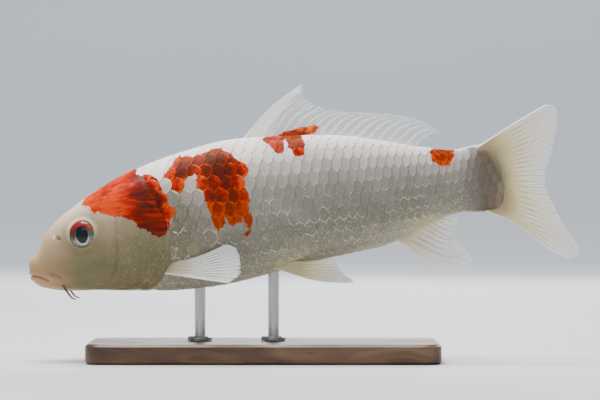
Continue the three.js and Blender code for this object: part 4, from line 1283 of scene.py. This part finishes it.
FORKS = [  # of a ray: how far luck moves it, half its spread, its length, how the ray thins there
    ("first_fork", 0.07, 0.23, 0.3, 0.42, 0.2), ("second_fork", 0.06, 0.11, 0.25, 0.35, 0.2),
]
EDGE_WHITE = (0.95, 0.93, 0.88)  # along a fin's stout front rays


def fin_sheet(lines, columns, steps):
    """The middle surface of a fin, from its first line to its last."""
    across = np.stack([line_through(line, columns) for line in lines])
    at = np.linspace(0, 1, len(lines))
    fine = np.linspace(0, 1, steps)
    sheet = np.empty((columns, steps, 3))
    for i in range(columns):
        for axis in range(3):
            sheet[i, :, axis] = curve_through(list(zip(at, across[:, i, axis])))(fine)
    return sheet


def ray_pattern(phase, share, fin, seed):
    """How bony the fin is at each place: 1 on a ray or a branch, 0 on the web between."""
    number = np.round(phase).astype(int)
    luck = np.random.default_rng(seed).uniform(-1, 1, (4, number.max() + 2))[:, number]
    width = fin["ray_half"]
    branches = [phase - number]
    for (fork, wander, half_spread, length, narrowing, narrows_in), chance in zip(FORKS, luck):
        start = fin[fork] + wander * chance
        width = width * (1 - narrowing * ease(share, start, start + narrows_in))
        apart = half_spread * ease(share, start, start + length)
        branches = [branch + side * apart for branch in branches for side in (-1, 1)]
    nearest = np.min(np.abs(branches), axis=0)
    return np.exp(-((nearest / width) ** 4)), luck[2]


def fin_blade(name, sheet, fin, seed, flip, two_fronts):
    """A closed blade either side of a sheet, thick at its foot and ribbed along its rays."""
    columns, steps, _ = sheet.shape
    phase = np.linspace(0, fin["rays"] - 1, columns)[:, None] + np.zeros((1, steps))
    share = np.linspace(0, 1, steps)[None, :] + np.zeros((columns, 1))
    ray, luck = ray_pattern(phase, share, fin, seed)
    recede = fin["notch"] * (1 - ray[:, -1:]) + 0.5 * fin["notch"] * (0.5 + 0.5 * luck[:, -1:])
    corner = np.linspace(0, 1, columns)[:, None]
    recede += fin["tip_round"] * (bell(corner, 0.03) + bell(1 - corner, 0.03))
    shortened = share * (1 - recede)
    drawn = np.empty(sheet.shape)
    for i in range(columns):
        for axis in range(3):
            drawn[i, :, axis] = np.interp(shortened[i], share[i], sheet[i, :, axis])
    sheet = drawn
    edges = np.gradient(sheet, axis=0), np.gradient(sheet, axis=1)
    normal = np.cross(edges[0], edges[1])
    normal /= np.linalg.norm(normal, axis=-1, keepdims=True)
    wave = np.sin(phase * fin["waves"] + 3 * share + seed) * share**1.5  # still at the foot
    sheet = sheet + (fin["wave_height"] * wave)[..., None] * normal
    lead = np.cumsum(np.linalg.norm(np.diff(sheet, axis=0, prepend=sheet[:1]), axis=-1), axis=0)
    trail = lead[-1:] - lead
    reach = np.cumsum(np.linalg.norm(np.diff(sheet, axis=1, prepend=sheet[:, :1]), axis=-1), axis=1)
    # Half the blade's thickness: web and rays, the fleshy foot, the stout front, rounded borders
    half = fin["web_half"] + fin["ray_lift"] * ray * (1 - 0.6 * share) * ease(share, 0, 0.25)
    half += fin["foot_half"] * np.exp(-((share / fin["foot_share"]) ** 1.6))
    half += fin["stout"] * np.exp(-lead / 1.6) * (1 - 0.7 * share)
    half *= 0.4 + 0.6 * np.clip(np.minimum(lead, trail + 0.1) / 0.45, 0, 1) ** 0.5
    half *= 0.35 + 0.65 * np.clip((1 - share) / 0.04, 0, 1) ** 0.5
    front, rear = sheet + half[..., None] * normal, sheet - half[..., None] * normal
    points = np.concatenate([front.reshape(-1, 3), rear.reshape(-1, 3)])
    points[:, 1] += sway(points[:, 0])
    n = columns * steps
    faces, tiles = [], []

    def add(face, tile):
        faces.append(face if flip > 0 else tuple(reversed(face)))
        tiles.extend(tile if flip > 0 else reversed(tile))

    def spot(i, j, back_side, out=0.0):
        along_map = 0.01 + 0.47 * j / (steps - 1) + 0.5 * back_side
        return along_map + out, 0.01 + 0.98 * i / (columns - 1)

    for i in range(columns - 1):
        for j in range(steps - 1):
            ring = [(i, j), (i + 1, j), (i + 1, j + 1), (i, j + 1)]
            add(tuple(a * steps + b for a, b in ring), [spot(a, b, 0) for a, b in ring])
            ring = ring[::-1]
            add(tuple(n + a * steps + b for a, b in ring), [spot(a, b, 1) for a, b in ring])
    rim = [(0, j) for j in range(steps)] + [(i, steps - 1) for i in range(1, columns)]
    rim += [(columns - 1, j) for j in range(steps - 2, -1, -1)]
    rim += [(i, 0) for i in range(columns - 2, 0, -1)]
    for (a, b), (c, d) in zip(rim, rim[1:] + rim[:1]):
        first, second = a * steps + b, c * steps + d
        tile = [spot(a, b, 0), spot(c, d, 0), spot(c, d, 0, 0.004), spot(a, b, 0, 0.004)]
        add((first, second, n + second, n + first), tile)
    blade = new_object(name, placed(points * [1, flip, 1]), faces)
    give_uv(blade.data, "OFBake", tiles)
    border = np.minimum(lead, trail) if two_fronts else lead
    marks = {"ray": ray, "share": share, "lead": lead, "border": border, "reach": reach}
    marks = {mark: np.tile(values.ravel(), 2) for mark, values in marks.items()}
    give(blade.data, along=points[:, 0], height=points[:, 2], **marks)
    return blade


# The look shared by all fins: opaque pale rays with fine joints, and a clearer web between
web_group, given, result = new_group(
    "koi_fin_web",
    {
        "Ray": 1.0, "Share": 0.5, "Lead": 9.0, "Reach": 5.0, "Web": 0.4, "Edge": 0.5, "Firm": 2.0,
        "Foot": 0.32,
    },
    {"Alpha": "NodeSocketFloat", "Gap": "NodeSocketFloat", "Height": "NodeSocketFloat"},
)
tree = web_group
ray_at, share_at, web_at = (given.outputs[label] for label in ("Ray", "Share", "Web"))
firm = minus(tree, given.outputs["Firm"], given.outputs["Lead"])
firm = spread(tree, firm, -3.0, 1.0)
foot = spread(tree, minus(tree, share_at, given.outputs["Foot"]), 0.0, -0.28)
solid = maths(tree, "MAXIMUM", firm, foot)
edge_alpha = times(tree, web_at, given.outputs["Edge"])
ray_alpha = spread(tree, share_at, 0.55, 1.0, 0.97, 0.72)
alpha = web_at
near_edge = spread(tree, share_at, 0.72, 1.0)
for share, other in ((near_edge, edge_alpha), (ray_at, ray_alpha), (solid, 1.0)):
    alpha = node(tree, "ShaderNodeMix", {0: share, 2: alpha, 3: other}, data_type="FLOAT").outputs[0]
tree.links.new(alpha, result.inputs["Alpha"])
gap = minus(tree, 1.0, ray_at)
gap = times(tree, gap, minus(tree, 1.0, solid))
tree.links.new(gap, result.inputs["Gap"])
joints = maths(tree, "SINE", times(tree, given.outputs["Reach"], 7.5))
joints = times(tree, joints, ray_at)
joints = plus(tree, joints, times(tree, object_noise(tree, 900.0), 1.5))
tree.links.new(joints, result.inputs["Height"])


def fin_finish(name, colours, web_clear, edge_clear, firm_to, gap_colour, foot_to=0.32):
    """A fin's skin, its colours given from foot to edge."""
    made, tree, shader = new_material(
        name, Roughness=0.42, Coat_Weight=0.15, Coat_Roughness=0.15, Specular_IOR_Level=0.35,
        Subsurface_Weight=0.6, Subsurface_Radius=(1.0, 0.85, 0.65), Subsurface_Scale=0.002,
    )
    marks = {"Web": web_clear, "Edge": edge_clear, "Firm": firm_to, "Foot": foot_to}
    for label in ("Ray", "Share", "Lead", "Reach"):
        marks[label] = attribute(tree, label.lower())
    web = node(tree, "ShaderNodeGroup", marks, node_tree=web_group)
    share_here = plus(tree, attribute(tree, "share"), uneven(tree, 0.25, 160.0), clamp=True)
    shaded = times(tree, web.outputs["Gap"], 0.6)
    front = spread(tree, attribute(tree, "border"), 0.9, 0.35, 0.0, 0.75)
    colour = ramp(tree, share_here, colours)
    colour = layered(tree, colour, (shaded, gap_colour), (front, EDGE_WHITE))
    joints = relief_of(tree, web.outputs["Height"], 0.3, 0.00012)
    feed(tree, shader, Base_Color=colour, Alpha=web.outputs["Alpha"], Normal=joints)
    return made, tree, shader, colour


dorsal_finish, tree, shader, colour = fin_finish(
    "koi_dorsal_fin",
    [
        (0.0, (0.94, 0.87, 0.79)), (0.25, (0.96, 0.90, 0.82)), (0.6, (0.96, 0.94, 0.91)),
        (1.0, (0.96, 0.96, 0.97)),
    ],
    0.13, 0.5, 7.6, (0.78, 0.82, 0.88), 0.2,
)
torn = uneven(tree, 2.4, 700.0)
red_foot = spread(tree, plus(tree, attribute(tree, "red"), torn), -0.2, 0.25)
flicker = object_noise(tree, 900.0, 3.0, (0.35, 1.0, 1.0))
FLAME = [(0.36, (0.60, 0.05, 0.005)), (0.52, (0.44, 0.02, 0.003)), (0.66, (0.19, 0.011, 0.003))]
flame = ramp(tree, flicker, FLAME)
clear = shader.inputs["Alpha"].links[0].from_socket
clear = maths(tree, "MAXIMUM", clear, red_foot)
feed(tree, shader, Base_Color=blend(tree, red_foot, colour, flame), Alpha=clear)
anal_finish = fin_finish(
    "koi_anal_fin",
    [
        (0.0, (0.66, 0.53, 0.36)), (0.2, (0.78, 0.70, 0.58)), (0.5, (0.84, 0.84, 0.84)),
        (1.0, (0.82, 0.86, 0.92)),
    ],
    0.5, 0.7, 2.4, (0.24, 0.26, 0.29),
)[0]
tail_finish = fin_finish(
    "koi_tail_fin",
    [
        (0.0, (0.36, 0.31, 0.19)), (0.07, (0.47, 0.41, 0.24)), (0.22, (0.66, 0.60, 0.38)),
        (0.45, (0.86, 0.79, 0.63)), (0.78, (0.92, 0.87, 0.81)), (1.0, (0.78, 0.84, 0.94)),
    ],
    0.62, 0.4, 1.8, (0.22, 0.22, 0.20), 0.5,
)[0]
pectoral_finish = fin_finish(
    "koi_pectoral_fin",
    [
        (0.0, (0.52, 0.42, 0.26)), (0.2, (0.70, 0.62, 0.46)), (0.4, (0.86, 0.82, 0.76)),
        (1.0, (0.90, 0.89, 0.89)),
    ],
    0.45, 0.8, 1.6, (0.12, 0.12, 0.11),
)[0]
pelvic_finish = fin_finish(
    "koi_pelvic_fin",
    [
        (0.0, (0.58, 0.47, 0.26)), (0.3, (0.74, 0.66, 0.40)), (0.65, (0.80, 0.76, 0.58)),
        (1.0, (0.80, 0.81, 0.80)),
    ],
    0.6, 0.6, 1.4, (0.34, 0.33, 0.27),
)[0]
BLADES = [  # name, fin, which side, finish, the solids it stands for
    ("dorsal_fin_blade", "dorsal", 1, dorsal_finish, ["dorsal_fin"]),
    ("anal_fin_blade", "anal", 1, anal_finish, ["anal_fin"]),
    ("tail_fin_blade", "tail", 1, tail_finish, ["tail_fin_upper", "tail_fin_lower"]),
    ("pectoral_blade_left", "pectoral", 1, pectoral_finish, ["pectoral_fin_left"]),
    ("pectoral_blade_right", "pectoral", -1, pectoral_finish, ["pectoral_fin_right"]),
    ("pelvic_blade_left", "pelvic", 1, pelvic_finish, ["pelvic_fin_left"]),
    ("pelvic_blade_right", "pelvic", -1, pelvic_finish, ["pelvic_fin_right"]),
]
for seed, (name, kind, flip, finish, stands_for) in enumerate(BLADES, 11):
    fin = dict(zip(FIN_MEASURES, FINS[kind]))
    columns = COLUMNS_A_RAY * (fin["rays"] - 1) + 1
    lobes = SHEETS[kind]
    sheet = fin_sheet(lobes[0], columns, FIN_STEPS)
    if len(lobes) == 2:
        upper, lower = (fin_sheet(lines, columns // 2 + 1, FIN_STEPS) for lines in lobes)
        near = 1 - ease(np.linspace(0, 1, len(lower)), 0, 0.35)[:, None, None]
        lower += (upper[-1:] - lower[:1]) * near
        sheet = np.concatenate([upper, lower[1:]])
    blade = fin_blade(name, sheet, fin, seed, flip, len(lobes) == 2)
    if kind == "dorsal":
        along, height = read_field(blade.data, "along"), read_field(blade.data, "height")
        give(blade.data, red=within(along, height, DORSAL_RED))
    blade.data.materials.append(finish)
    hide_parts(*stands_for)
    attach(blade, "root")

# ---- Stand
# A solid walnut base with a satin oil finish, and two brushed steel rods, each screwed down
# through a round flange and let into the fish's belly.
WALNUT_TONES = [
    (0.28, (0.035, 0.017, 0.009)), (0.45, (0.085, 0.042, 0.021)), (0.6, (0.13, 0.068, 0.035)),
    (0.75, (0.19, 0.105, 0.056)),
]
WALNUT_PORES = (0.022, 0.011, 0.006)
STEEL_TONES = [(0.3, (0.46, 0.47, 0.48)), (0.7, (0.60, 0.60, 0.61))]

walnut, tree, shader = new_material(
    "oiled_walnut", Roughness=0.42, Coat_Weight=0.15, Coat_Roughness=0.3, Specular_IOR_Level=0.4
)
flow = object_noise(tree, 24.0, 3.0, (0.35, 1.0, 1.0))
place = node(tree, "ShaderNodeTexCoord").outputs["Object"]
place = node(tree, "ShaderNodeMapping", {0: place, 3: (9.0, 150.0, 150.0)}).outputs[0]
warp = node(tree, "ShaderNodeVectorMath", {0: flow, 1: (2.0, 9.0, 9.0)}, operation="MULTIPLY").outputs[0]
place = node(tree, "ShaderNodeVectorMath", {0: place, 1: warp}, operation="ADD").outputs[0]
figure = node(tree, "ShaderNodeTexNoise", {"Vector": place, "Scale": 1.0, "Detail": 5.0}).outputs[0]
pores = object_noise(tree, 2600.0, 2.0, (0.05, 1.0, 1.0))
colour = ramp(tree, figure, WALNUT_TONES)
pore_marks = spread(tree, pores, 0.62, 0.72, 0.0, 0.6)
colour = blend(tree, pore_marks, colour, WALNUT_PORES)
satin = spread(tree, figure, 0.3, 0.7, 0.5, 0.36)
height = minus(tree, times(tree, figure, 0.6), pore_marks)
feed(tree, shader, Base_Color=colour, Roughness=satin, Normal=relief_of(tree, height, 0.25, 0.0002))

brushed, tree, shader = new_material("brushed_steel", Metallic=1.0, Roughness=0.3)
brush = object_noise(tree, 900.0, 3.0, (1.0, 1.0, 0.04))
tint = ramp(tree, brush, STEEL_TONES)
satin = spread(tree, brush, 0.3, 0.7, 0.24, 0.38)
feed(tree, shader, Base_Color=tint, Roughness=satin, Normal=relief_of(tree, brush, 0.12, 0.0001))
for name, finish in {"stand_base": walnut, "stand_rod_front": brushed, "stand_rod_rear": brushed}.items():
    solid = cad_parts[name]
    if not solid.material_slots:
        solid.data.materials.append(finish)
    for slot in solid.material_slots:
        slot.material = finish

# ---- Backdrop and lights
# A pale seamless studio sweep, level under the stand and curving up all round far behind it,
# lit by a broad soft box overhead, a weak one in front, a long one behind and a wash on the
# paper.
SWEEP = [  # radius and height
    (0.9, 0.0), (1.6, 0.0), (1.95, 0.05), (2.25, 0.2), (2.45, 0.5), (2.55, 1.0), (2.6, 2.4),
]
SWEEP_AROUND = 96
PAPER_BY_HEIGHT = [(0.0, (0.56, 0.565, 0.57)), (0.35, (0.60, 0.655, 0.72))]
SKY_TINT, SKY_STRENGTH = (0.90, 0.93, 0.96, 1.0), 0.1

sweep_points = []
for radius, height in SWEEP:
    for j in range(SWEEP_AROUND):
        turn = 2 * math.pi * j / SWEEP_AROUND
        sweep_points.append((radius * math.cos(turn), radius * math.sin(turn), height))
sweep_faces = [tuple(range(SWEEP_AROUND))] + ring_faces(len(SWEEP), SWEEP_AROUND)
sweep = new_object("backdrop", sweep_points, sweep_faces)
paper, tree, shader = new_material("studio_paper", Roughness=0.75)
height = node(tree, "ShaderNodeTexCoord").outputs["Object"]
height = node(tree, "ShaderNodeSeparateXYZ", {0: height}).outputs[2]
mottled = times(tree, object_noise(tree, 3.0), 0.12)
height = plus(tree, height, mottled, clamp=True)
sheet_of_paper = ramp(tree, height, PAPER_BY_HEIGHT)
feed(tree, shader, Base_Color=sheet_of_paper)
sweep.data.materials.append(paper)

LIGHTS = {  # place, aim, width and depth, watts, colour
    "overhead": ((-0.16, 0.06, 0.95), (-0.01, 0.0, 0.06), (0.8, 0.5), 27.0, (1.0, 0.965, 0.925)),
    "front": ((-0.45, -1.1, 0.7), (0.01, 0.0, 0.06), (0.6, 0.4), 1.4, (1.0, 0.97, 0.93)),
    "behind": ((0.3, 0.9, 0.5), (0.01, 0.0, 0.06), (1.0, 0.4), 10.0, (0.98, 0.98, 1.0)),
    "wash": ((0.0, 0.9, 0.9), (0.0, 2.3, 0.2), (1.6, 0.5), 22.0, (0.93, 0.97, 1.0)),
}
for name, (place, aim, size, watts, colour) in LIGHTS.items():
    lamp = bpy.data.lights.new(name, "AREA")
    lamp.shape = "RECTANGLE"
    lamp.size, lamp.size_y = size
    lamp.energy = watts
    lamp.color = colour
    holder = bpy.data.objects.new(name, lamp)
    holder.location = place
    holder.rotation_euler = (Vector(aim) - Vector(place)).to_track_quat("-Z", "Y").to_euler()
    bpy.context.scene.collection.objects.link(holder)

world = bpy.data.worlds.new("studio")
world.use_nodes = True
sky = world.node_tree.nodes["Background"].inputs
sky[0].default_value, sky[1].default_value = SKY_TINT, SKY_STRENGTH
bpy.context.scene.world = world
